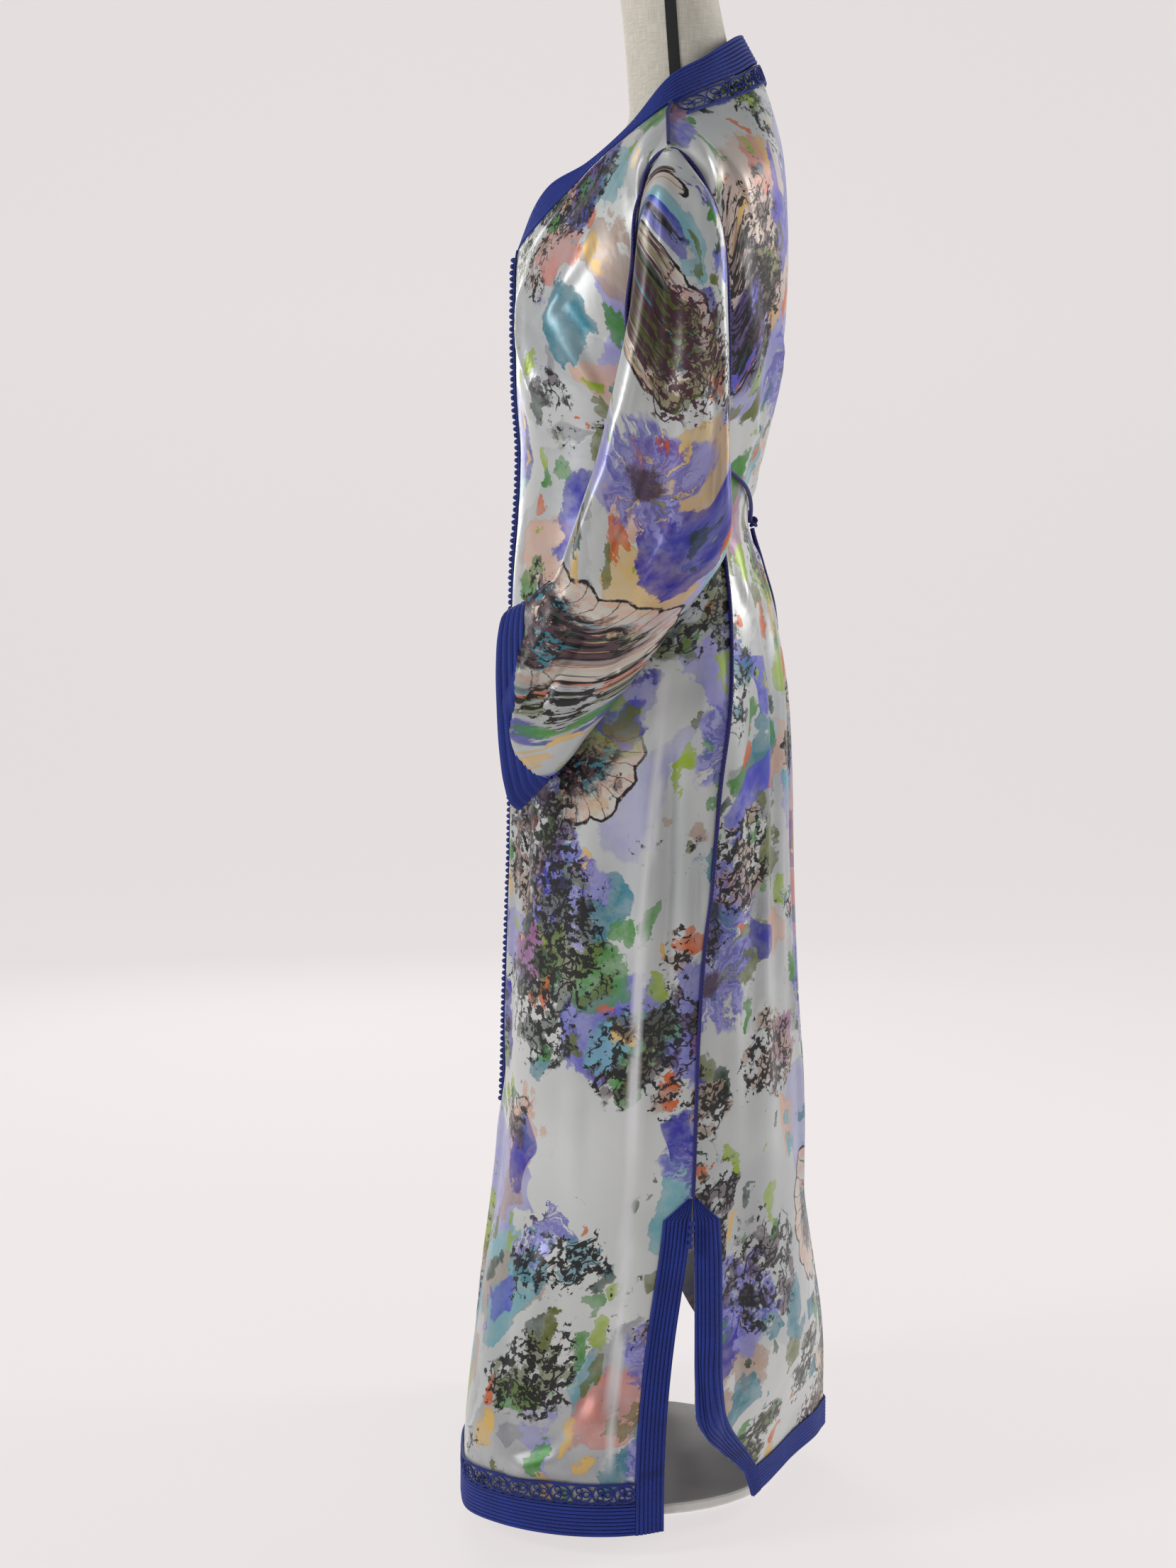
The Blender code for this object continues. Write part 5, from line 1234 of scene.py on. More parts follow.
def paint_flowers(shader, uv, drift, ragged, colour):
    """Violet blooms with ragged petals, and large dark ringed blooms low on the skirt."""
    spot = uv + drift * 0.05 + ragged * 0.03
    radius, turn, chance, tint = local_polar(shader, uv, spot, 5.2, 9.3)
    petals = shader.one("ABSOLUTE", shader.one("SINE", turn * 2.5))
    reach = petals ** 0.6 * 0.03 + 0.026
    streaks = shader.noise(shader.join(turn * 5.0, radius * 34.0), 1.0, 3.0)
    bloom = shader.soft(radius - reach, 0.004, -0.004) * shader.soft(chance, 0.5, 0.49)
    gaps = shader.soft(streaks, 0.36, 0.5)
    body = shader.mix(shader.soft(streaks, 0.4, 0.62), DEEP_VIOLET, LILAC)
    colour = shader.mix(bloom * gaps * 0.92, colour, body)
    heart = shader.soft(radius, 0.016, 0.008) * shader.soft(chance, 0.5, 0.49)
    colour = shader.mix(heart * 0.85, colour, shader.mix(tint, INK, PLUM))

    spot = uv + drift * 0.03 + ragged * 0.01
    radius, turn, chance, tint = local_polar(shader, uv, spot, 3.6, 27.1)
    height = shader.parts(uv)[1]
    picked = shader.soft(chance, 0.62, 0.6) * shader.soft(height, 0.78, 0.72)
    scallop = shader.one("ABSOLUTE", shader.one("SINE", turn * 7.0)) * 0.006
    edge = radius - scallop
    mottle = shader.noise(spot, 95.0, 4.0, 0.65)
    disc = shader.soft(edge, 0.074, 0.07) * picked
    petal_tint = shader.mix(shader.soft(mottle, 0.4, 0.6), PEACH, srgb(206, 200, 188))
    colour = shader.mix(disc * 0.8, colour, petal_tint)
    rays = shader.one("ABSOLUTE", shader.one("SINE", turn * 14.0))
    fan = shader.soft(rays, 0.16, 0.04) * shader.soft(edge, 0.04, 0.046) * disc
    outline = shader.soft(shader.one("ABSOLUTE", edge - 0.071), 0.0024, 0.001) * picked
    colour = shader.mix((fan * 0.8 + outline) * shader.soft(mottle, 0.3, 0.46), colour, INK)
    middle = shader.soft(edge + mottle * 0.04, 0.074, 0.058) * picked
    dark = shader.ramp(shader.noise(spot, 30.0, 3.0),
                       [(0.0, DARK_GREEN), (0.42, PLUM), (0.52, TEAL), (0.6, PLUM), (0.68, SALMON)])
    colour = shader.mix(middle * shader.soft(mottle, 0.34, 0.44) * 0.95, colour, dark)
    specks = shader.soft(shader.noise(spot, 150.0, 3.0, 0.6), 0.5, 0.54) * middle
    return shader.mix(specks, colour, INK)


def paint_ink(shader, uv, spot, colour):
    """Dark lacy patches in scattered clusters: stains, splatter, outlines of petals and broken twigs."""
    splatter = shader.noise(uv, 120.0, 4.0, 0.6)
    outline = shader.one("ABSOLUTE", shader.noise(uv, 24.0, 3.0, 0.55) - 0.5)
    twig_uv = uv + (shader.noise(uv, 30.0, 2.0, output="Color") - (0.5, 0.5, 0.5)) * 0.05
    twigs = shader.cells(twig_uv, 52.0, "DISTANCE_TO_EDGE")
    broken = shader.noise(uv, 40.0, 3.0)
    for ink in INK_CLUSTERS:
        cell_uv = spot + (ink.place, ink.place * 0.6, 0.0)
        distance = shader.cells(cell_uv, ink.scale)
        chance, kind, _ = shader.parts(shader.cells(cell_uv, ink.scale, output="Color"))
        cluster = (shader.soft(distance, ink.radius, ink.radius - 0.34)
                   * shader.soft(chance, ink.share, ink.share - 0.01))
        under = shader.ramp(kind, [(0.0, PLUM), (0.3, DARK_GREEN), (0.46, TAN), (0.64, OLIVE), (0.84, TEAL)])
        stain = shader.soft(broken + cluster * 0.14, 0.575, 0.6) * shader.soft(cluster, 0.05, 0.25)
        colour = shader.mix(stain * 0.66, colour, under)
        dots = shader.soft(splatter + cluster * 0.1, 0.598, 0.612) * shader.soft(cluster, 0.02, 0.1)
        petals = (shader.soft(outline, 0.022, 0.01) * shader.soft(splatter, 0.36, 0.44)
                  * shader.soft(cluster, 0.04, 0.24))
        lines = (shader.soft(twigs, 0.06, 0.028) * shader.soft(broken, 0.46, 0.54)
                 * shader.soft(cluster, 0.16, 0.42))
        pigment = shader.ramp(kind, [(0.0, INK), (0.62, PLUM), (0.7, INK), (0.94, DARK_GREEN)])
        drawn = shader.one("MAXIMUM", shader.one("MAXIMUM", dots, lines), petals)
        colour = shader.mix(drawn * 0.97, colour, pigment)
    return colour


def satin(name, wrong_side=False):
    """Printed satin: right side with a soft sheen and a painted highlight along a pressed crease down each
    front, wrong side paler and duller.
    """
    shader = Shader(name)
    uv = shader.uv()
    ground = srgb(208, 210, 208)
    colour = paint_print(shader, uv, ground)
    painted_highlight = shader.node("ShaderNodeAttribute", {"attribute_name": "pale_stripe"}, output="Fac")
    # Painted highlight: a pale streak where light catches the pressed crease down each front.
    colour = shader.mix(painted_highlight * 0.8, colour, srgb(222, 222, 224))
    if wrong_side:
        colour = shader.mix(0.52, colour, srgb(214, 216, 222))
    crimp = shader.noise(uv * (1.0, 0.35, 1.0), 26.0, 3.0, 0.5)
    weave = shader.noise(uv * (1.0, 0.12, 1.0), 1500.0, 2.0)
    crumple = shader.noise(uv + shader.noise(uv, 18.0, 2.0, output="Color") * 0.02, 44.0, 2.0)
    height = crimp * 0.62 + crumple * 0.34 + weave * 0.02
    roughness = shader.soft(shader.noise(uv, 13.0, 3.0), 0.3, 0.7) * 0.1 + (0.52 if wrong_side else 0.33)
    return shader.finish(colour, roughness, shader.bump(height, 0.0028, 0.55), Metallic=0.18,
                         Sheen_Weight=0.06, Sheen_Roughness=0.4, Specular_IOR_Level=0.6)


def corded(name, base, dark, pitch, twist=0.0016, roughness=0.62, depth=0.0004):
    """Thread laid side by side: twisted strands that follow the piece's own length, with painted shade in the
    grooves between cords and in the hollows of the twist.
    """
    shader = Shader(name)
    uv = shader.uv()
    along, across, _ = shader.parts(uv)
    strand = across / pitch
    inside = shader.one("ABSOLUTE", shader.one("FRACT", strand) - 0.5)
    groove = shader.soft(inside, 0.34, 0.5)
    lean = shader.one("SINE", (along / twist + strand * 0.9) * (2 * math.pi))
    fibre = shader.noise(uv, 900.0, 3.0)
    patch = shader.noise(uv, 42.0, 3.0)
    colour = shader.mix(shader.soft(patch, 0.3, 0.72), base, tuple(c * 1.3 for c in base))
    # Painted shade: the grooves between cords and the hollows of the twist are mixed toward the dark, shaded
    # copy of the colour.
    colour = shader.mix(groove * 0.8, colour, dark)
    colour = shader.mix(shader.soft(lean, 0.1, -0.9) * 0.32, colour, dark)
    colour = shader.mix(shader.soft(fibre, 0.58, 0.8) * 0.3, colour,
                        tuple(min(c * 2.1 + 0.01, 1) for c in base))
    height = lean * 0.5 + fibre * 0.25 - groove * 0.6
    return shader.finish(colour, shader.soft(fibre, 0.3, 0.7) * 0.14 + roughness,
                         shader.bump(height, depth, 0.8),
                         Sheen_Weight=0.08, Sheen_Roughness=0.4)


def thread(name, base, dark, turns, twist=0.0015, depth=0.0003):
    """A round cord: strands that wind about it, by its length and its share of a turn, with painted shade
    between them.
    """
    shader = Shader(name)
    uv = shader.uv()
    along, around, _ = shader.parts(uv)
    lean = shader.one("SINE", (along / twist + around * turns) * (2 * math.pi))
    fibre = shader.noise(shader.join(along * 400.0, around * 9.0), 1.0, 3.0)
    # Painted shade in the hollows between the wound strands, mixed toward the dark, shaded copy of the
    # colour.
    colour = shader.mix(shader.soft(lean, 0.2, -0.8) * 0.65, base, dark)
    colour = shader.mix(shader.soft(fibre, 0.5, 0.8) * 0.35, colour,
                        tuple(min(c * 1.9 + 0.01, 1) for c in base))
    return shader.finish(colour, shader.soft(fibre, 0.3, 0.7) * 0.12 + 0.58,
                         shader.bump(lean * 0.6 + fibre * 0.3, depth, 0.8), Sheen_Weight=0.08,
                         Sheen_Roughness=0.4)


def knot_thread(name, base, dark):
    """Small hand-made knots: wound thread by object place, with painted shade in the gaps between its turns.
    """
    shader = Shader(name)
    place = shader.place()
    x, y, z = shader.parts(place)
    wrap = shader.one("SINE", (z * 620.0 + y * 380.0) * (2 * math.pi))
    cross = shader.one("SINE", (z * 560.0 - y * 420.0 + x * 150.0) * (2 * math.pi))
    fibre = shader.noise(place, 1400.0, 3.0)
    woven = shader.one("MAXIMUM", wrap, cross)
    # Painted shade in the gaps between the wound threads, mixed toward the dark, shaded copy of the colour.
    colour = shader.mix(shader.soft(woven, 0.5, -0.4) * 0.6, base, dark)
    colour = shader.mix(shader.soft(fibre, 0.55, 0.8) * 0.3, colour,
                        tuple(min(c * 1.9 + 0.01, 1) for c in base))
    return shader.finish(colour, shader.soft(fibre, 0.3, 0.7) * 0.12 + 0.58,
                         shader.bump(woven * 0.6 + fibre * 0.3, 0.0003, 0.8), Sheen_Weight=0.08,
                         Sheen_Roughness=0.4)


def linen(name, base, thread_count=1050.0):
    """Plain woven linen with slubs, in object places."""
    shader = Shader(name)
    place = shader.place()
    x, y, z = shader.parts(place)
    round_it = shader.one("ARCTAN2", y - 0.03, x) * 0.055
    flat = shader.join(round_it, z)
    warp = shader.noise(flat * (thread_count, 60.0, 1.0), 1.0, 2.0)
    weft = shader.noise(flat * (60.0, thread_count, 1.0), 1.0, 2.0)
    slub = shader.soft(shader.noise(flat * (900.0, 24.0, 1.0), 1.0, 2.0), 0.62, 0.78)
    grime = shader.noise(place, 14.0, 4.0)
    tone = shader.mix(shader.soft(warp * 0.5 + weft * 0.5, 0.36, 0.64), tuple(c * 0.8 for c in base),
                      tuple(min(c * 1.08, 1) for c in base))
    colour = shader.mix(shader.soft(grime, 0.45, 0.75) * 0.22, tone, tuple(c * 0.78 for c in base))
    colour = shader.mix(slub * 0.3, colour, tuple(min(c * 1.2, 1) for c in base))
    height = warp * 0.5 + weft * 0.5 + slub * 0.5
    return shader.finish(colour, shader.soft(warp, 0.3, 0.7) * 0.08 + 0.82, shader.bump(height, 0.0004, 0.7),
                         Sheen_Weight=0.25, Sheen_Roughness=0.6)


def tape(name):
    """Black ribbed tape sewn over the form's seam."""
    shader = Shader(name)
    uv = shader.uv()
    along, across, _ = shader.parts(uv)
    ribs = shader.one("SINE", along * (2 * math.pi / 0.0011))
    fibre = shader.noise(uv, 1200.0, 3.0)
    edge = shader.soft(shader.one("ABSOLUTE", across - 0.5), 0.4, 0.48)
    colour = shader.mix(shader.soft(ribs + fibre, 0.2, 1.2) * 0.5, srgb(20, 20, 22), srgb(44, 44, 48))
    colour = shader.mix(edge * 0.4, colour, srgb(10, 10, 12))
    return shader.finish(colour, shader.soft(fibre, 0.3, 0.7) * 0.1 + 0.72,
                         shader.bump(ribs + fibre, 0.0003, 0.7),
                         Sheen_Weight=0.2)


def brushed_steel(name):
    shader = Shader(name)
    place = shader.place()
    x, y, z = shader.parts(place)
    grain = shader.noise(shader.join(shader.one("ARCTAN2", y, x) * 60.0, z * 8.0), 1.0, 4.0)
    smudge = shader.noise(place, 18.0, 3.0)
    colour = shader.mix(shader.soft(grain, 0.3, 0.7), srgb(86, 88, 94), srgb(132, 134, 140))
    roughness = shader.soft(grain, 0.3, 0.7) * 0.1 + shader.soft(smudge, 0.4, 0.7) * 0.1 + 0.28
    return shader.finish(colour, roughness, shader.bump(grain, 0.0001, 0.4), Metallic=1.0)


def satin_paint(name):
    """Off-white powder coat with a fine orange peel, worn a little at its rim."""
    shader = Shader(name)
    place = shader.place()
    x, y, z = shader.parts(place)
    peel = shader.noise(place, 420.0, 2.0)
    dust = shader.noise(place, 12.0, 4.0)
    rim = shader.soft(shader.one("SQRT", x * x + y * y), 0.14, 0.1445) * shader.soft(dust, 0.5, 0.62)
    colour = shader.mix(shader.soft(dust, 0.4, 0.7) * 0.35, srgb(228, 226, 222), srgb(206, 203, 198))
    colour = shader.mix(rim * 0.5, colour, srgb(150, 148, 146))
    return shader.finish(colour, shader.soft(dust, 0.3, 0.7) * 0.12 + 0.42, shader.bump(peel, 0.0002, 0.35),
                         Coat_Weight=0.1)


def paper_wall(name, colour):
    """The studio's plain sweep."""
    shader = Shader(name)
    cloud = shader.noise(shader.place(), 1.2, 2.0)
    tone = shader.mix(cloud, tuple(c * STUDIO_SHADE * 0.98 for c in colour),
                      tuple(c * STUDIO_SHADE for c in colour))
    return shader.finish(tone, 0.92, Specular_IOR_Level=0.05, Emission_Color=(*colour, 1.0),
                         Emission_Strength=STUDIO_GLOW)


@lru_cache(maxsize=None)
def finish_named(name):
    """Each finish is made once, when the first piece asks for it."""
    colours = bpy.context.scene.kaftan_colours
    blue, navy = tuple(colours.trim), tuple(colours.piping)
    # Shaded copies of the trim and piping colours: painted shade in the grooves of braid, cord, lace and
    # knots.
    blue_shade, navy_shade = tuple(c * 0.22 for c in blue), tuple(c * 0.25 for c in navy)
    makers = {
        "satin": lambda: satin("printed_satin"),
        "satin_wrong_side": lambda: satin("printed_satin_wrong_side", wrong_side=True),
        "braid": lambda: corded("corded_braid", blue, blue_shade, 0.0035),
        "neck_braid": lambda: corded("corded_neck_braid", blue, blue_shade, 0.0035),
        "edge_cord": lambda: corded("corded_front_edge", blue, blue_shade, 0.003),
        "lace": lambda: thread("lace_thread", blue, blue_shade, 1.0, 0.0012, 0.0002),
        "knots": lambda: knot_thread("knotted_buttons", blue, blue_shade),
        "piping": lambda: thread("twisted_piping", navy, navy_shade, 2.0, 0.004, 0.0003),
        "linen": lambda: linen("cream_linen", tuple(colours.linen)),
        "seam_tape": lambda: tape("black_seam_tape"),
        "steel": lambda: brushed_steel("brushed_steel_pole"),
        "base": lambda: satin_paint("off_white_base"),
        "floor": lambda: paper_wall("studio_sweep", tuple(colours.studio)),
    }
    return makers[name]()


# Pieces

def ride_as(piece, slot, *nodes):
    """The piece moves with the whole and stands for these solids. The slot is not used."""
    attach(piece, "root")
    if nodes:
        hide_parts(*nodes)
    return piece


def sizes():
    return bpy.context.scene.kaftan_sizes


def mark_crease_highlight(piece):
    """The painted highlight along a pressed crease down each front, as a soft share at each vertex."""
    places = numpy.empty(len(piece.data.vertices) * 3)
    piece.data.vertices.foreach_get("co", places)
    places = places.reshape(-1, 3)
    distance, along = nearest_on_line(places[:, [1, 2]], CREASE_HIGHLIGHT_LINE)
    ragged = 1 + 0.22 * numpy.sin(along * 37) + 0.12 * numpy.sin(along * 91)
    share = soft_step((CREASE_HIGHLIGHT_HALF_WIDTH * ragged + 0.0016 - distance) / 0.0032)
    share *= soft_step(along / 0.03) * soft_step((1 - along) / 0.03) * (abs(places[:, 0]) > 0.12)
    layer = piece.data.attributes.new("pale_stripe", "FLOAT", "POINT")
    layer.data.foreach_set("value", share.astype(numpy.float32))


def make_panels():
    half = sizes().cloth_thickness / 2
    materials = [finish_named("satin"), finish_named("satin_wrong_side")]
    gap = SEAM_GAP / 2
    for side in (1, -1):
        sheet = garment()["front", side]
        rows = places_through(sheet.row_knots, CLOTH_STEP)
        columns = places_through(sheet.column_knots, CLOTH_STEP)
        rows[-1] -= gap
        columns[-1] -= gap
        piece = cloth_piece(side_name("satin_front", side), sheet, rows, columns, half, materials,
                            (side, 0, 0))
        mark_crease_highlight(piece)
        ride_as(piece, "satin", side_name("front", side))
    sheet = garment()["back"]
    rows = places_through(sheet.row_knots, CLOTH_STEP)
    columns = places_through(sheet.column_knots, CLOTH_STEP)
    rows[-1] -= gap
    columns[0] += gap
    columns[-1] -= gap
    middle = sheet.column_knots[len(sheet.column_knots) // 2]
    piece = cloth_piece("satin_back", sheet, rows, columns, half, materials, BACK_PRINT, middle)
    ride_as(piece, "satin", "back")


def cuff_fold(sheet):
    """How far a sleeve's satin stands out over its cuff's lace and braid, on the outer side."""
    lace_start, band_start = sheet.row_knots[-3], sheet.row_knots[-2]

    def fold(rows, points, normals):
        heights = points[:, 2]
        lip = band_start + numpy.interp(heights, CUFF_FOLD_HEIGHTS, CUFF_FOLD_LAPS)
        rise = soft_step((rows - lace_start + CUFF_FOLD_RISE) / CUFF_FOLD_RISE)
        drop = soft_step((lip - rows) / CUFF_FOLD_LIP)
        outer = soft_step((normals[:, 0] * sheet.side - 0.1) / 0.3)
        low, high = CUFF_FOLD_ENDS
        return CUFF_FOLD_HEIGHT * rise * drop * outer * soft_step((heights - low) / (high - low))

    return fold


def make_sleeves():
    half = sizes().cloth_thickness / 2
    materials = [finish_named("satin"), finish_named("satin_wrong_side")]
    for side in (1, -1):
        sheet = garment()["sleeve", side]
        rows = places_through(sheet.row_knots, CLOTH_STEP)
        band_start = sheet.row_knots[-2]
        close = numpy.arange(band_start - 2 * CUFF_FOLD_LIP, sheet.row_knots[-1], CUFF_FOLD_STEP)
        rows = numpy.concatenate([rows[rows < close[0]], close, rows[-1:]])
        columns = places_through(sheet.column_knots, CLOTH_STEP)[:-1]
        piece = cloth_piece(side_name("satin_sleeve", side), sheet, rows, columns, half, materials,
                            SLEEVE_PRINT[side], fold=cuff_fold(sheet))
        ride_as(piece, "satin", side_name("sleeve", side))


def neck_sheet():
    """The neck band's own sheet, from the left centre front round the neck to the right centre front."""
    lower, upper = [], []
    rows = {1: FRONT_PANEL.rows(LEFT_FOLDS), -1: FRONT_PANEL.rows(RIGHT_FOLDS)}
    backs = {1: BACK_PANEL.rows(LEFT_FOLDS), -1: BACK_PANEL.rows(RIGHT_FOLDS)}
    for side in (1, -1):
        edge = [p.copy() for p in rows[side][-1][:NECK_COLUMN["front"] + 1]]
        edge[0].x = SEAM_GAP / 2
        edge += [p.copy() for p in backs[side][-1][NECK_COLUMN["back"] - 1::-1]]
        edge[-1].x = 0.0
        edge = [Vector((p.x * side, p.y, p.z)) for p in edge]
        rim = rim_for(edge, side)
        if side < 0:
            edge, rim = edge[-2::-1], rim[-2::-1]
        lower, upper = lower + edge, upper + rim
    knots = [0.0]
    for a, b in zip(lower, lower[1:]):
        knots.append(knots[-1] + (b - a).length)
    return Sheet([lower, upper], [0.0, NECK_BAND_WIDTH], knots, 1)


def make_neck():
    sheet = neck_sheet()
    piece = band_piece("neck_braid", sheet, (NECK_BAND_GAP, NECK_BAND_WIDTH),
                       (SEAM_GAP, sheet.column_knots[-1] - SEAM_GAP), "columns", NECK_CORDS,
                       finish_named("neck_braid"), low=-CLOTH / 2, thickness=BRAID + CLOTH / 2)
    ride_as(piece, "braid", "neck_band")
    back = garment()["back"]
    middle = len(back.column_knots) // 2
    reach = NECK_COLUMN["back"]
    top = back.row_knots[-1]
    rows = (top - (1 - TOP_ROWS[-2]) * (SHOULDER_TIP[2] - UNDERARM), top - SEAM_GAP)
    columns = (back.column_knots[middle - reach] + LACE_END_GAP,
               back.column_knots[middle + reach] - LACE_END_GAP)
    piece = lace_piece("back_neck_lace_rings", back, rows, columns, NECK_RING_PITCH)
    ride_as(piece, "braid", "back_neck_lace")


def lace_piece(name, sheet, rows, columns, pitch):
    """A strip of openwork between two border cords: linked rings with a three-leaved eye in each."""
    threads = Threads()
    lift = CLOTH / 2 + LACE_GAP + THREAD_RADIUS
    span = columns[1] - columns[0]
    count = max(int(round(span / pitch)), 1)
    pitch = span / count
    height = rows[1] - rows[0]
    closed = sheet.closed and span >= sheet.column_knots[-1] - 1e-6

    def run(spots, radius, sides=5, loop=False, over=0.0):
        spots = numpy.array(spots)
        points, normals = sheet.lay(rows[0] + spots[:, 1], columns[0] + spots[:, 0])
        threads.add(points + normals * (lift + over), normals, radius, sides, loop)

    steps = numpy.linspace(0, span, count * 5 + 1)
    if closed:
        steps = steps[:-1]
    for v in (THREAD_RADIUS * 1.4, height - THREAD_RADIUS * 1.4):
        run([(u, v) for u in steps], THREAD_RADIUS * 1.5, 6, closed)
    scallops = numpy.linspace(0, span, count * 12 + 1)
    if closed:
        scallops = scallops[:-1]
    wave = height * 0.13
    run([(u, wave * (0.9 + 0.8 * abs(math.sin(math.pi * u / pitch)))) for u in scallops], THREAD_RADIUS, 5,
        closed)
    turns = [2 * math.pi * k / 14 for k in range(14)]
    for n in range(count):
        u, v = (n + 0.5) * pitch, height * 0.52
        across, up = pitch * 0.47, height * 0.37
        run([(u + across * math.cos(t), v + up * math.sin(t)) for t in turns], THREAD_RADIUS * 1.25, 5,
            True, 0.0003)
        eye = [2 * math.pi * k / 18 for k in range(18)]
        petals = [(u + across * 0.82 * math.cos(t) * abs(math.cos(1.5 * t)) ** 0.8,
                   v + up * 0.82 * math.sin(t) * abs(math.cos(1.5 * t)) ** 0.8) for t in eye]
        run(petals, THREAD_RADIUS * 0.9, 4, True, -0.0001)
        run([(u + across * 0.24 * math.cos(t), v + up * 0.24 * math.sin(t)) for t in turns[::2]],
            THREAD_RADIUS * 0.9, 4, True, 0.0006)
    return threads.piece(name, finish_named("lace"))


def make_front_edges():
    """The cord strip down each front edge, and the row of knots that closes the fronts."""
    front = garment()["front", 1]
    top = front.row_knots[-1]
    for side in (1, -1):
        sheet = garment()["front", side]
        columns = (BUTTON_RADIUS + LAY_GAP, sheet.column_knots[1])
        piece = band_piece(side_name("front_edge_braid", side), sheet, (0.0, top - SEAM_GAP), columns, "rows",
                           FRONT_CORDS, finish_named("edge_cord"))
        ride_as(piece, "braid", side_name("front_strip", side))
    lift = CLOTH / 2 + LAY_GAP + BUTTON_RADIUS
    centres = []
    for n in range(sizes().button_count):
        place = front.row_at_height(0.0, BUTTON_TOP - n * BUTTON_PITCH)
        point = front.creased(numpy.array([place]), numpy.array([0.0]))[0]
        centres.append(Vector((0.0, point[1] - lift, point[2])))
    piece = knot_row("knotted_button_row", centres, BUTTON_RADIUS, Vector((0, -1, 0)))
    ride_as(piece, "braid", "front_buttons")


def knot_row(name, centres, radius, outward):
    """One wound knot, modelled once and copied to each centre, on a thin loop cord that joins them."""
    bpy.ops.object.select_all(action="DESELECT")
    bpy.ops.mesh.primitive_uv_sphere_add(segments=10, ring_count=7, radius=radius * 1.04, location=(0, 0, 0))
    knot = bpy.context.active_object
    bpy.ops.object.mode_set(mode="EDIT")
    bpy.ops.transform.resize(value=(1.0, 1.0, 0.86))
    bpy.ops.mesh.select_all(action="DESELECT")
    bpy.ops.object.mode_set(mode="OBJECT")
    for vertex in knot.data.vertices:
        turn = math.atan2(vertex.co.y, vertex.co.x)
        lobe = 1 + 0.09 * math.sin(3 * turn + vertex.co.z / radius * 2.6)
        vertex.co.x *= lobe
        vertex.co.y *= lobe
    knot.data.shade_smooth()
    knot.data.materials.append(finish_named("knots"))
    copies = []
    for n, centre in enumerate(centres):
        copy = knot.copy()
        copy.data = knot.data.copy()
        lean = math.radians(60 * (n % 3) + 9 * math.sin(n * 2.4))
        side = Vector((math.sin(n * 3.7), math.cos(n * 1.9), 0)) * radius * 0.06
        for vertex in copy.data.vertices:
            x, y = vertex.co.x, vertex.co.y
            vertex.co.x = x * math.cos(lean) - y * math.sin(lean) + centre.x + side.x
            vertex.co.y = x * math.sin(lean) + y * math.cos(lean) + centre.y + side.y
            vertex.co.z += centre.z
        bpy.context.scene.collection.objects.link(copy)
        copies.append(copy)
    threads = Threads()
    inward = -outward * radius * 0.35
    path = [numpy.array(c + inward) for c in centres]
    threads.add(path, [tuple(outward)] * len(path), radius * 0.42, 6)
    cord = threads.piece(name, finish_named("knots"))
    bpy.ops.object.select_all(action="DESELECT")
    for copy in copies:
        copy.select_set(True)
    cord.select_set(True)
    bpy.context.view_layer.objects.active = cord
    bpy.ops.object.join()
    bpy.data.objects.remove(knot, do_unlink=True)
    return cord


def make_hems():
    for side in (1, -1):
        sheet = garment()["front", side]
        knots = sheet.column_knots
        columns = (knots[1] + SEAM_GAP, knots[-2] - SEAM_GAP)
        piece = band_piece(side_name("front_hem_braid", side), sheet, (0.0, HEM_BAND), columns, "columns",
                           HEM_CORDS, finish_named("braid"))
        ride_as(piece, "braid", side_name("front_hem_band", side))
        rows = (HEM_BAND + SEAM_GAP, HEM_BAND + HEM_LACE)
        piece = lace_piece(side_name("front_hem_lace_rings", side), sheet, rows, columns, HEM_RING_PITCH)
        ride_as(piece, "braid", side_name("front_hem_lace", side))
    sheet = garment()["back"]
    knots = sheet.column_knots
    piece = band_piece("back_hem_braid", sheet, (0.0, HEM_BAND), (knots[1] + SEAM_GAP, knots[-2] - SEAM_GAP),
                       "columns", HEM_CORDS, finish_named("braid"))
    ride_as(piece, "braid", "back_hem_band")


def make_slits():
    """Braid up both edges of each side slit, narrowing to its top, and the knots that close the top."""
    front_knots = garment()["front", 1].row_knots
    top, shoulder = front_knots[SLIT_TOP_ROW], front_knots[SLIT_TOP_ROW - 1]
    widths = ([0.0, shoulder, top], [SLIT_BAND, SLIT_BAND, SLIT_BAND_TIP])
    for side in (1, -1):
        sheet = garment()["front", side]
        knots = sheet.column_knots
        piece = band_piece(side_name("front_slit_braid", side), sheet, (0.0, top),
                           (knots[-2], knots[-1] - SEAM_GAP),
                           "rows", SLIT_CORDS, finish_named("braid"), width_at=(widths, "last"))
        ride_as(piece, "braid", side_name("front_slit_band", side))
        back = garment()["back"]
        knots = back.column_knots
        columns = (knots[0] + SEAM_GAP, knots[1]) if side > 0 else (knots[-2], knots[-1] - SEAM_GAP)
        piece = band_piece(side_name("back_slit_braid", side), back, (0.0, top), columns, "rows", SLIT_CORDS,
                           finish_named("braid"), width_at=(widths, "first" if side > 0 else "last"))
        ride_as(piece, "braid", side_name("back_slit_band", side))
        lift = CLOTH / 2 + LAY_GAP + BRAID + LAY_GAP + BUTTON_RADIUS
        edge = sheet.column_knots[-1]
        centres = []
        for n in range(SLIT_KNOTS):
            place = sheet.row_at_height(edge, SLIT_KNOT_TOP - n * SLIT_KNOT_PITCH)
            points, normals = sheet.lay([place], [edge])
            centres.append(Vector(points[0] + normals[0] * lift))
        piece = knot_row(side_name("slit_knot_row", side), centres, BUTTON_RADIUS, Vector((side, 0, 0)))
        ride_as(piece, "braid", side_name("slit_knots", side))


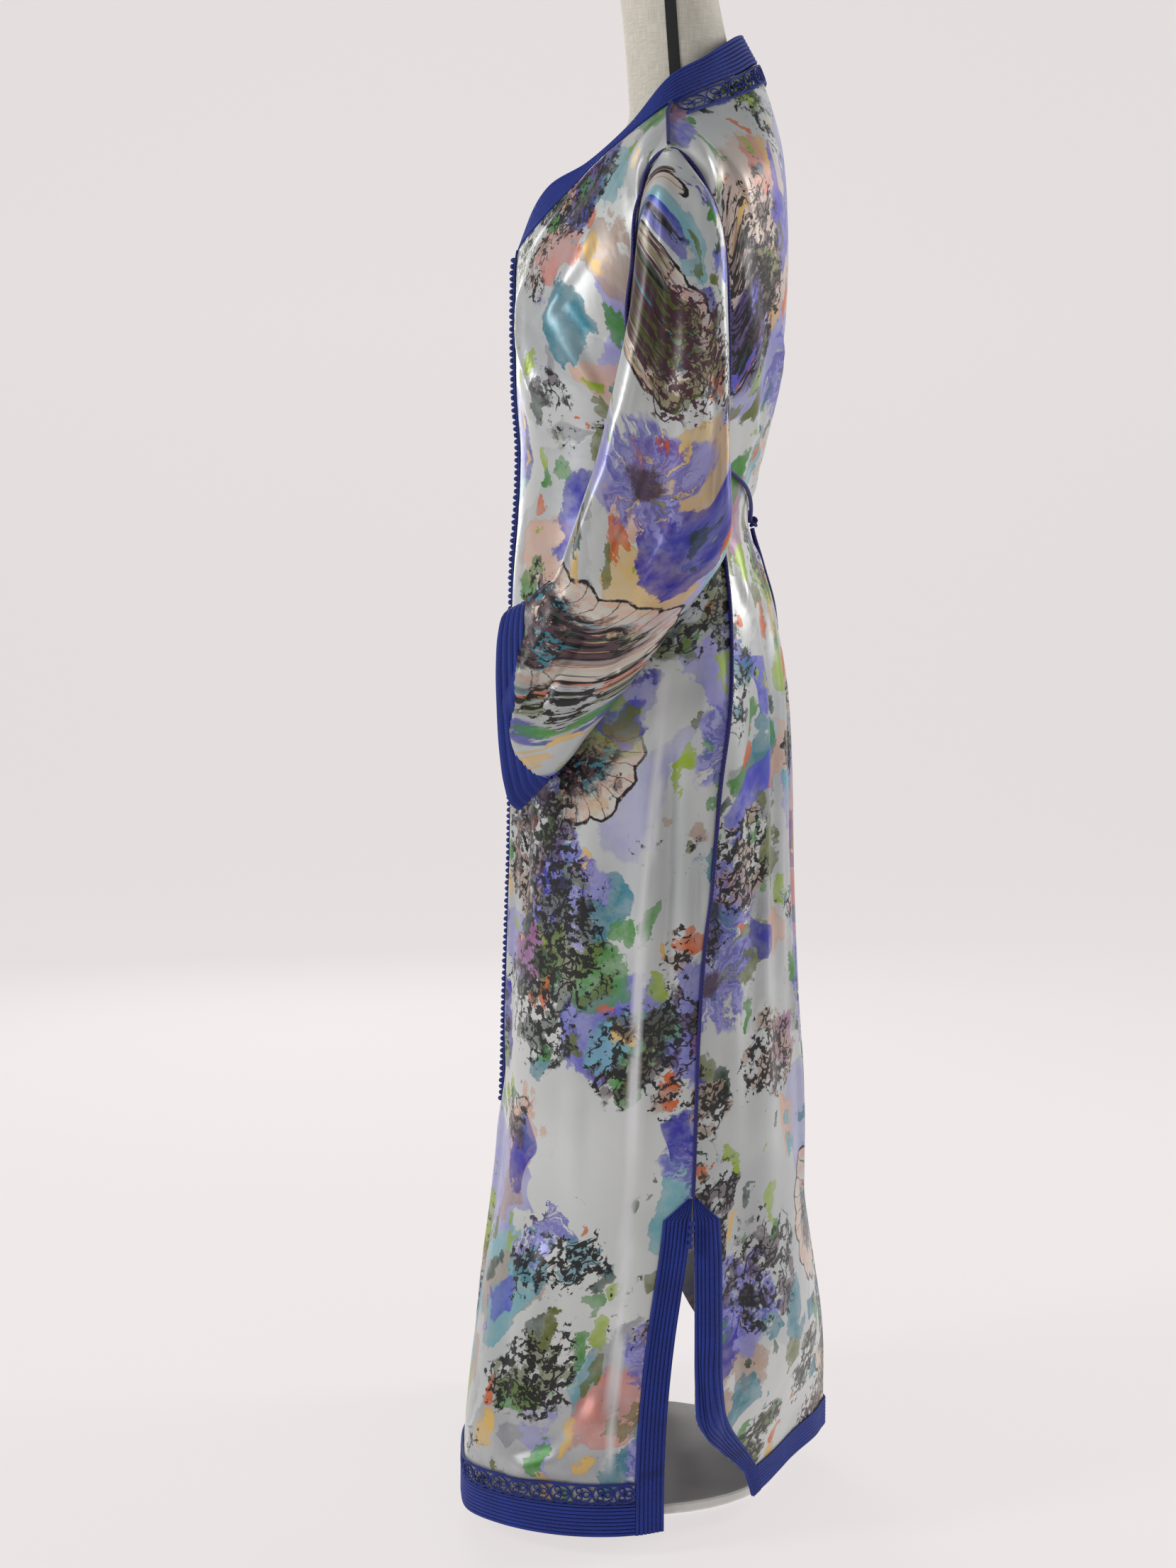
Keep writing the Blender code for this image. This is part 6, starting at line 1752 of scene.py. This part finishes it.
def make_cuffs():
    for side in (1, -1):
        sheet = garment()["sleeve", side]
        knots = sheet.row_knots
        around = spread(0.0, sheet.column_knots[-1], TRIM_STEP)[:-1]
        shares = numpy.linspace(0.0, 1.0, CUFF_CORDS * CORD_SAMPLES + 1)
        rows = knots[-2] + (knots[-1] - knots[-2]) * shares
        r, c = all_pairs(rows, around)
        points, normals = sheet.lay(r, c)
        shape = (len(rows), len(around), 3)
        crown = numpy.sqrt(numpy.clip(1 - (2 * ((shares * CUFF_CORDS) % 1.0) - 1) ** 2, 0.0, 1.0))
        low = CLOTH / 2 + LAY_GAP
        lift = low + BRAID * (BRAID_FLOOR + (1 - BRAID_FLOOR) * crown)
        points, normals = points.reshape(shape), normals.reshape(shape)
        uv = numpy.stack([c.reshape(shape[:2]), r.reshape(shape[:2])], axis=2)
        piece = shell_piece(side_name("cuff_braid", side), points + normals * lift[:, None, None],
                            points + normals * low, uv, sheet.outward, True, [finish_named("braid")])
        ride_as(piece, "braid", side_name("cuff_band", side))
        rows = (knots[-3], knots[-2] - CUFF_LACE_GAP)
        piece = lace_piece(side_name("cuff_lace_rings", side), sheet, rows, (0.0, sheet.column_knots[-1]),
                           CUFF_RING_PITCH)
        ride_as(piece, "braid", side_name("cuff_lace", side))


def cord_piece(name, path, normals, radius, closed=False, material="piping"):
    threads = Threads()
    threads.add(path, normals, radius, CORD_SIDES, closed)
    return threads.piece(name, finish_named(material))


def make_piping():
    """Twisted cord on the side seams, the shoulder seams and round the armholes."""
    lift = CLOTH / 2 + LAY_GAP + PIPING_RADIUS
    radius = sizes().piping_radius
    for side in (1, -1):
        sheet = garment()["front", side]
        edge = sheet.column_knots[-1]
        low = sheet.row_knots[SLIT_TOP_ROW] + SEAM_PIPING_START
        high = sheet.row_knots[UNDERARM_ROW] - PIPING_INSET - PIPING_CLEARANCE
        rows = spread(low, high, CORD_STEP)
        points, normals = sheet.lay(rows, numpy.full(len(rows), edge))
        piece = cord_piece(side_name("side_seam_piping", side), points + normals * lift, normals, radius)
        ride_as(piece, "piping", side_name("side_piping", side))

        path, outs = armhole_path(side)
        piece = cord_piece(side_name("armhole_seam_piping", side), path, outs, radius, closed=True)
        ride_as(piece, "piping", side_name("armhole_piping", side))

        knots = sheet.column_knots
        columns = spread(knots[NECK_COLUMN["front"]] + PIPING_CLEARANCE,
                         knots[-1] - PIPING_INSET - PIPING_CLEARANCE,
                         CORD_STEP)
        points, normals = sheet.lay(numpy.full(len(columns), sheet.row_knots[-1]), columns)
        ridge = unit(numpy.array([[(SHOULDER_TIP[2] - NECK_CORNER[2]) * -side, 0.0,
                                   SHOULDER_TIP[0] - NECK_CORNER[0]]]))
        piece = cord_piece(side_name("shoulder_seam_piping", side), points + ridge * lift,
                           numpy.repeat(ridge, len(points), 0), radius)
        ride_as(piece, "piping", side_name("shoulder_piping", side))


def armhole_path(side):
    """Round the armhole on the panels, just outside the seam: up the front edge and down the back edge."""
    front, back = garment()["front", side], garment()["back"]
    lift = CLOTH / 2 + LAY_GAP + PIPING_RADIUS + ARMHOLE_BRIDGING * 0.6
    low, top = front.row_knots[UNDERARM_ROW], front.row_knots[-1]
    rows = spread(low, top, CORD_STEP)
    edge = front.column_knots[-1]
    inset = PIPING_INSET * 0.9
    front_points, front_normals = front.lay(rows, numpy.full(len(rows), edge - inset))
    back_edge = back.column_knots[0] if side > 0 else back.column_knots[-1]
    back_points, back_normals = back.lay(rows, numpy.full(len(rows), back_edge + side * inset))
    points = numpy.concatenate([front_points[:-1], back_points[::-1][:-1]])
    normals = numpy.concatenate([front_normals[:-1], back_normals[::-1][:-1]])
    path = points + normals * lift
    for _ in range(6):
        path = (numpy.roll(path, 1, axis=0) + 2 * path + numpy.roll(path, -1, axis=0)) / 4
        normals = unit(numpy.roll(normals, 1, axis=0) + 2 * normals + numpy.roll(normals, -1, axis=0))
    return path, normals


def make_waist_tie():
    """Two cords round the back waist to a knot, and its two hanging ends."""
    back = garment()["back"]
    knots = back.column_knots
    middle = knots[len(knots) // 2]
    lift = CLOTH / 2 + LACE_GAP + TIE_RADIUS
    for side in (1, -1):
        edge = knots[0] if side > 0 else knots[-1]
        start = edge + side * (PIPING_CLEARANCE + 0.001)
        columns = spread(start, middle - side * (TIE_KNOT_RADIUS + LAY_GAP), CORD_STEP)
        share = (columns - edge) / (middle - edge)
        heights = TIE_SIDE_LEVEL + (TIE_KNOT_LEVEL - TIE_SIDE_LEVEL) * share
        rows = numpy.array([back.row_at_height(c, z) for c, z in zip(columns, heights)])
        points, normals = back.lay(rows, columns)
        path = points + normals * lift
        piece = cord_piece(side_name("waist_cord", side), path, normals, TIE_RADIUS)
        ride_as(piece, "piping", side_name("waist_tie", side))
    place = back.row_at_height(middle, TIE_KNOT_LEVEL)
    points, normals = back.lay([place], [middle])
    centre = Vector(points[0] + normals[0] * (CLOTH / 2 + LAY_GAP + TIE_KNOT_RADIUS))
    knot = tied_knot("waist_knot", centre)
    ride_as(knot, "piping", "waist_tie_knot")
    for end in TIE_ENDS:
        top = TIE_KNOT_LEVEL - TIE_KNOT_RADIUS - LAY_GAP
        path, route = [], []
        for k in range(TIE_END_POINTS * 5):
            share = k / (TIE_END_POINTS * 5 - 1)
            z = top + (end.bottom - top) * share
            place = back.row_at_height(middle, z)
            spot, out = back.lay([place], [middle])
            point = spot[0] + out[0] * (lift + TIE_END_GAP)
            point[0] = end.side * (end.start_x + (end.end_x - end.start_x) * share)
            path.append(point)
            route.append(tuple(float(v) for v in point))
        piece = cord_piece(side_name("hanging_cord", end.side), path, [(0, 1, 0)] * len(path), TIE_RADIUS)
        ride_as(piece, "piping", end.name)


def tied_knot(name, centre):
    """A small round knot: the cord wound three ways about itself."""
    threads = Threads()
    turns = numpy.linspace(0, 2 * math.pi, 90, endpoint=False)
    reach = TIE_KNOT_RADIUS - TIE_RADIUS * 0.72
    path = numpy.stack([reach * numpy.sin(2 * turns) * (0.7 + 0.3 * numpy.cos(3 * turns)),
                        reach * 0.62 * numpy.sin(3 * turns),
                        reach * numpy.cos(2 * turns) * (0.7 + 0.3 * numpy.cos(3 * turns))], axis=1)
    threads.add(path + numpy.array(centre), unit(path + numpy.array([0, 1e-4, 0])), TIE_RADIUS * 0.72, 8,
                True)
    return threads.piece(name, finish_named("piping"))


def make_dress_form():
    """The form's solid made smooth, linen over it, and black tape on its two side seams."""
    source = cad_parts["dress_form"]
    source = source if isinstance(source, bpy.types.Object) else bpy.data.objects[source]
    bpy.ops.object.select_all(action="DESELECT")
    form = source.copy()
    form.data = source.data.copy()
    form.name = "linen_form"
    form.data.name = "linen_form"
    form.data.materials.clear()
    bpy.context.scene.collection.objects.link(form)
    form.select_set(True)
    bpy.context.view_layer.objects.active = form
    bpy.ops.object.mode_set(mode="EDIT")
    bpy.ops.mesh.select_all(action="SELECT")
    bpy.ops.mesh.remove_doubles(threshold=0.00001)
    bpy.ops.mesh.tris_convert_to_quads()
    bpy.ops.mesh.select_all(action="DESELECT")
    bpy.ops.object.mode_set(mode="OBJECT")
    smooth = form.modifiers.new("smooth", "SUBSURF")
    smooth.levels = smooth.render_levels = 3
    bpy.ops.object.modifier_apply(modifier="smooth")
    form.data.shade_smooth()
    form.data.set_sharp_from_angle(angle=math.radians(70))
    form.data.materials.append(finish_named("linen"))
    ride_as(form, "linen", "dress_form")
    for side in (1, -1):
        piece = seam_tape(side, form)
        ride_as(piece, "linen")


def seam_tape(side, form):
    """A strip of ribbed tape from the neck's top edge down inside the kaftan."""
    heights = numpy.linspace(1.524, 1.388, 60)
    hold = []
    for z in heights:
        spot = (z - 1.388) / (1.524 - 1.388)
        y = 0.032 - 0.01 * spot
        row = []
        for across in numpy.linspace(-0.5, 0.5, 5):
            start = Vector((side * 0.12, y + across * TAPE_WIDTH, z))
            hit, place, normal, _ = form.ray_cast(start, Vector((-side, 0, 0)))
            if not hit:
                raise RuntimeError("the seam tape finds no form beneath it")
            row.append((place, normal))
        hold.append(row)
    points = numpy.array([[tuple(p) for p, _ in row] for row in hold])
    normals = numpy.array([[tuple(n) for _, n in row] for row in hold])
    uv = numpy.stack([numpy.repeat(heights[:, None], 5, 1),
                      numpy.repeat(numpy.linspace(0, 1, 5)[None, :], len(heights), 0)], axis=2)
    return shell_piece(side_name("seam_tape", side), points + normals * 0.0009, points - normals * 0.0004, uv,
                       -side, False, [finish_named("seam_tape")])


def make_stand():
    """The pole and the base keep their solids and take their finishes."""
    for node, finish in (("pole", "steel"), ("base", "base")):
        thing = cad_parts[node]
        thing = thing if isinstance(thing, bpy.types.Object) else bpy.data.objects[thing]
        for slot in thing.material_slots:
            slot.material = finish_named(finish)


# Studio

def make_studio():
    """A pale sweep, soft lights, and the camera at the photograph's angle."""
    bpy.ops.object.select_all(action="DESELECT")
    bpy.ops.mesh.primitive_plane_add(size=12.0, location=(0, 0, -0.0005))
    sweep = bpy.context.active_object
    sweep.name = "studio_sweep"
    bpy.ops.object.mode_set(mode="EDIT")
    bpy.ops.mesh.select_mode(type="EDGE")
    bpy.ops.mesh.select_all(action="DESELECT")
    bpy.ops.object.mode_set(mode="OBJECT")
    for edge in sweep.data.edges:
        edge.select = all(sweep.data.vertices[v].co.x < -5.9 for v in edge.vertices)
    bpy.ops.object.mode_set(mode="EDIT")
    bpy.ops.mesh.extrude_region_move(TRANSFORM_OT_translate={"value": (0, 0, 6.0)})
    bpy.ops.mesh.select_all(action="DESELECT")
    bpy.ops.object.mode_set(mode="OBJECT")
    for edge in sweep.data.edges:
        ends = [sweep.data.vertices[v].co for v in edge.vertices]
        edge.select = all(p.x < -5.9 and p.z < 0.1 for p in ends)
    bpy.ops.object.mode_set(mode="EDIT")
    bpy.ops.mesh.bevel(offset=2.0, segments=16)
    bpy.ops.mesh.select_all(action="DESELECT")
    bpy.ops.object.mode_set(mode="OBJECT")
    sweep.data.shade_smooth()
    sweep.data.materials.append(finish_named("floor"))
    world = bpy.data.worlds.new("studio_air")
    world.use_nodes = True
    air = world.node_tree.nodes["Background"]
    air.inputs["Color"].default_value = (1.0, 1.0, 1.0, 1.0)
    air.inputs["Strength"].default_value = WORLD_STRENGTH
    bpy.context.scene.world = world
    bpy.context.scene.view_settings.view_transform = "Standard"
    for lamp in LAMPS:
        bpy.ops.object.light_add(type="AREA", location=lamp.place)
        light = bpy.context.active_object
        light.name = lamp.name
        light.data.shape = "RECTANGLE"
        light.data.size, light.data.size_y = lamp.width, lamp.height
        light.data.energy = lamp.energy
        light.rotation_euler = (Vector(lamp.aim) - Vector(lamp.place)).to_track_quat("-Z", "Y").to_euler()
    bpy.ops.object.camera_add(location=CAMERA_PLACE,
                              rotation=(math.radians(90 - CAMERA_DOWN), 0, math.radians(90)))
    camera = bpy.context.active_object
    camera.name = "camera"
    camera.data.sensor_fit = "VERTICAL"
    camera.data.sensor_height = 36.0
    camera.data.lens = CAMERA_LENS
    bpy.context.scene.camera = camera


# Add-on

class KaftanSizes(bpy.types.PropertyGroup):
    """Sizes that a user would change."""
    cloth_thickness: FloatProperty(name="Cloth thickness", description="Thickness of the satin",
                                   default=0.0008,
                                   min=0.0004, max=CLOTH, precision=5, unit="LENGTH")
    piping_radius: FloatProperty(name="Piping radius", description="Radius of the twisted cord on the seams",
                                 default=1.4 * PIPING_RADIUS, min=0.0008, max=0.002, precision=5,
                                 unit="LENGTH")
    button_count: IntProperty(name="Knots", description="Knots down the centre front", default=BUTTON_COUNT,
                              min=2, max=BUTTON_COUNT)


class KaftanColours(bpy.types.PropertyGroup):
    """Colours that a user would change."""
    trim: FloatVectorProperty(name="Braid and lace", description="Colour of braid, lace and knots",
                              default=srgb(20, 46, 138), size=3, min=0.0, max=1.0, subtype="COLOR")
    piping: FloatVectorProperty(name="Piping", description="Colour of the seam cords and the waist tie",
                                default=srgb(34, 30, 112), size=3, min=0.0, max=1.0, subtype="COLOR")
    linen: FloatVectorProperty(name="Linen", description="Colour of the dress form's cover",
                               default=srgb(216, 210, 196), size=3, min=0.0, max=1.0, subtype="COLOR")
    studio: FloatVectorProperty(name="Studio", description="Colour of the floor and the backdrop",
                                default=srgb(231, 226, 225), size=3, min=0.0, max=1.0, subtype="COLOR")


class KAFTAN_OT_panels(bpy.types.Operator):
    """Lay the satin of the two fronts and the back over the form"""
    bl_idname = "kaftan.panels"
    bl_label = "Satin fronts and back"

    def execute(self, context):
        make_panels()
        return {"FINISHED"}


class KAFTAN_OT_sleeves(bpy.types.Operator):
    """Hang the two satin sleeves from the armholes"""
    bl_idname = "kaftan.sleeves"
    bl_label = "Sleeves"

    def execute(self, context):
        make_sleeves()
        return {"FINISHED"}


class KAFTAN_OT_neck(bpy.types.Operator):
    """Braid the neck band and lay the lace below it at the back"""
    bl_idname = "kaftan.neck"
    bl_label = "Neck band and lace"

    def execute(self, context):
        make_neck()
        return {"FINISHED"}


class KAFTAN_OT_front_edges(bpy.types.Operator):
    """Run the cord strip and the knots down the centre front"""
    bl_idname = "kaftan.front_edges"
    bl_label = "Front edges and knots"

    def execute(self, context):
        make_front_edges()
        return {"FINISHED"}


class KAFTAN_OT_hems(bpy.types.Operator):
    """Braid the hems and set the ring lace above the front hems"""
    bl_idname = "kaftan.hems"
    bl_label = "Hems"

    def execute(self, context):
        make_hems()
        return {"FINISHED"}


class KAFTAN_OT_slits(bpy.types.Operator):
    """Braid the side slits and close their tops with knots"""
    bl_idname = "kaftan.slits"
    bl_label = "Side slits"

    def execute(self, context):
        make_slits()
        return {"FINISHED"}


class KAFTAN_OT_cuffs(bpy.types.Operator):
    """Braid and lace the cuffs"""
    bl_idname = "kaftan.cuffs"
    bl_label = "Cuffs"

    def execute(self, context):
        make_cuffs()
        return {"FINISHED"}


class KAFTAN_OT_piping(bpy.types.Operator):
    """Lay twisted cord on the side, shoulder and armhole seams"""
    bl_idname = "kaftan.piping"
    bl_label = "Seam piping"

    def execute(self, context):
        make_piping()
        return {"FINISHED"}


class KAFTAN_OT_waist_tie(bpy.types.Operator):
    """Tie the cord at the back waist"""
    bl_idname = "kaftan.waist_tie"
    bl_label = "Waist tie"

    def execute(self, context):
        make_waist_tie()
        return {"FINISHED"}


class KAFTAN_OT_dress_form(bpy.types.Operator):
    """Cover the dress form in linen, with tape on its side seams"""
    bl_idname = "kaftan.dress_form"
    bl_label = "Dress form"

    def execute(self, context):
        make_dress_form()
        return {"FINISHED"}


class KAFTAN_OT_stand(bpy.types.Operator):
    """Give the pole and the base their finishes"""
    bl_idname = "kaftan.stand"
    bl_label = "Pole and base"

    def execute(self, context):
        make_stand()
        return {"FINISHED"}


class KAFTAN_OT_studio(bpy.types.Operator):
    """Set the sweep, the lights and the camera"""
    bl_idname = "kaftan.studio"
    bl_label = "Studio"

    def execute(self, context):
        make_studio()
        return {"FINISHED"}


OPERATORS = (KAFTAN_OT_studio, KAFTAN_OT_waist_tie, KAFTAN_OT_panels, KAFTAN_OT_sleeves, KAFTAN_OT_neck,
             KAFTAN_OT_front_edges, KAFTAN_OT_hems, KAFTAN_OT_slits, KAFTAN_OT_cuffs, KAFTAN_OT_piping,
             KAFTAN_OT_dress_form, KAFTAN_OT_stand)


class KAFTAN_PT_sidebar(bpy.types.Panel):
    """The kaftan's sizes, colours and pieces"""
    bl_idname = "KAFTAN_PT_sidebar"
    bl_label = "Moroccan kaftan"
    bl_space_type = "VIEW_3D"
    bl_region_type = "UI"
    bl_category = "Kaftan"

    def draw(self, context):
        for group in (context.scene.kaftan_sizes, context.scene.kaftan_colours):
            for name in group.__annotations__:
                self.layout.prop(group, name)
        for operator in OPERATORS:
            self.layout.operator(operator.bl_idname)


CLASSES = (KaftanSizes, KaftanColours, *OPERATORS, KAFTAN_PT_sidebar)


def register():
    for item in CLASSES:
        bpy.utils.register_class(item)
    bpy.types.Scene.kaftan_sizes = PointerProperty(type=KaftanSizes)
    bpy.types.Scene.kaftan_colours = PointerProperty(type=KaftanColours)


def unregister():
    del bpy.types.Scene.kaftan_colours
    del bpy.types.Scene.kaftan_sizes
    for item in reversed(CLASSES):
        bpy.utils.unregister_class(item)


def main():
    register()
    for operator in OPERATORS:
        group, name = operator.bl_idname.split(".")
        getattr(getattr(bpy.ops, group), name)()


if __name__ == "__main__":
    main()
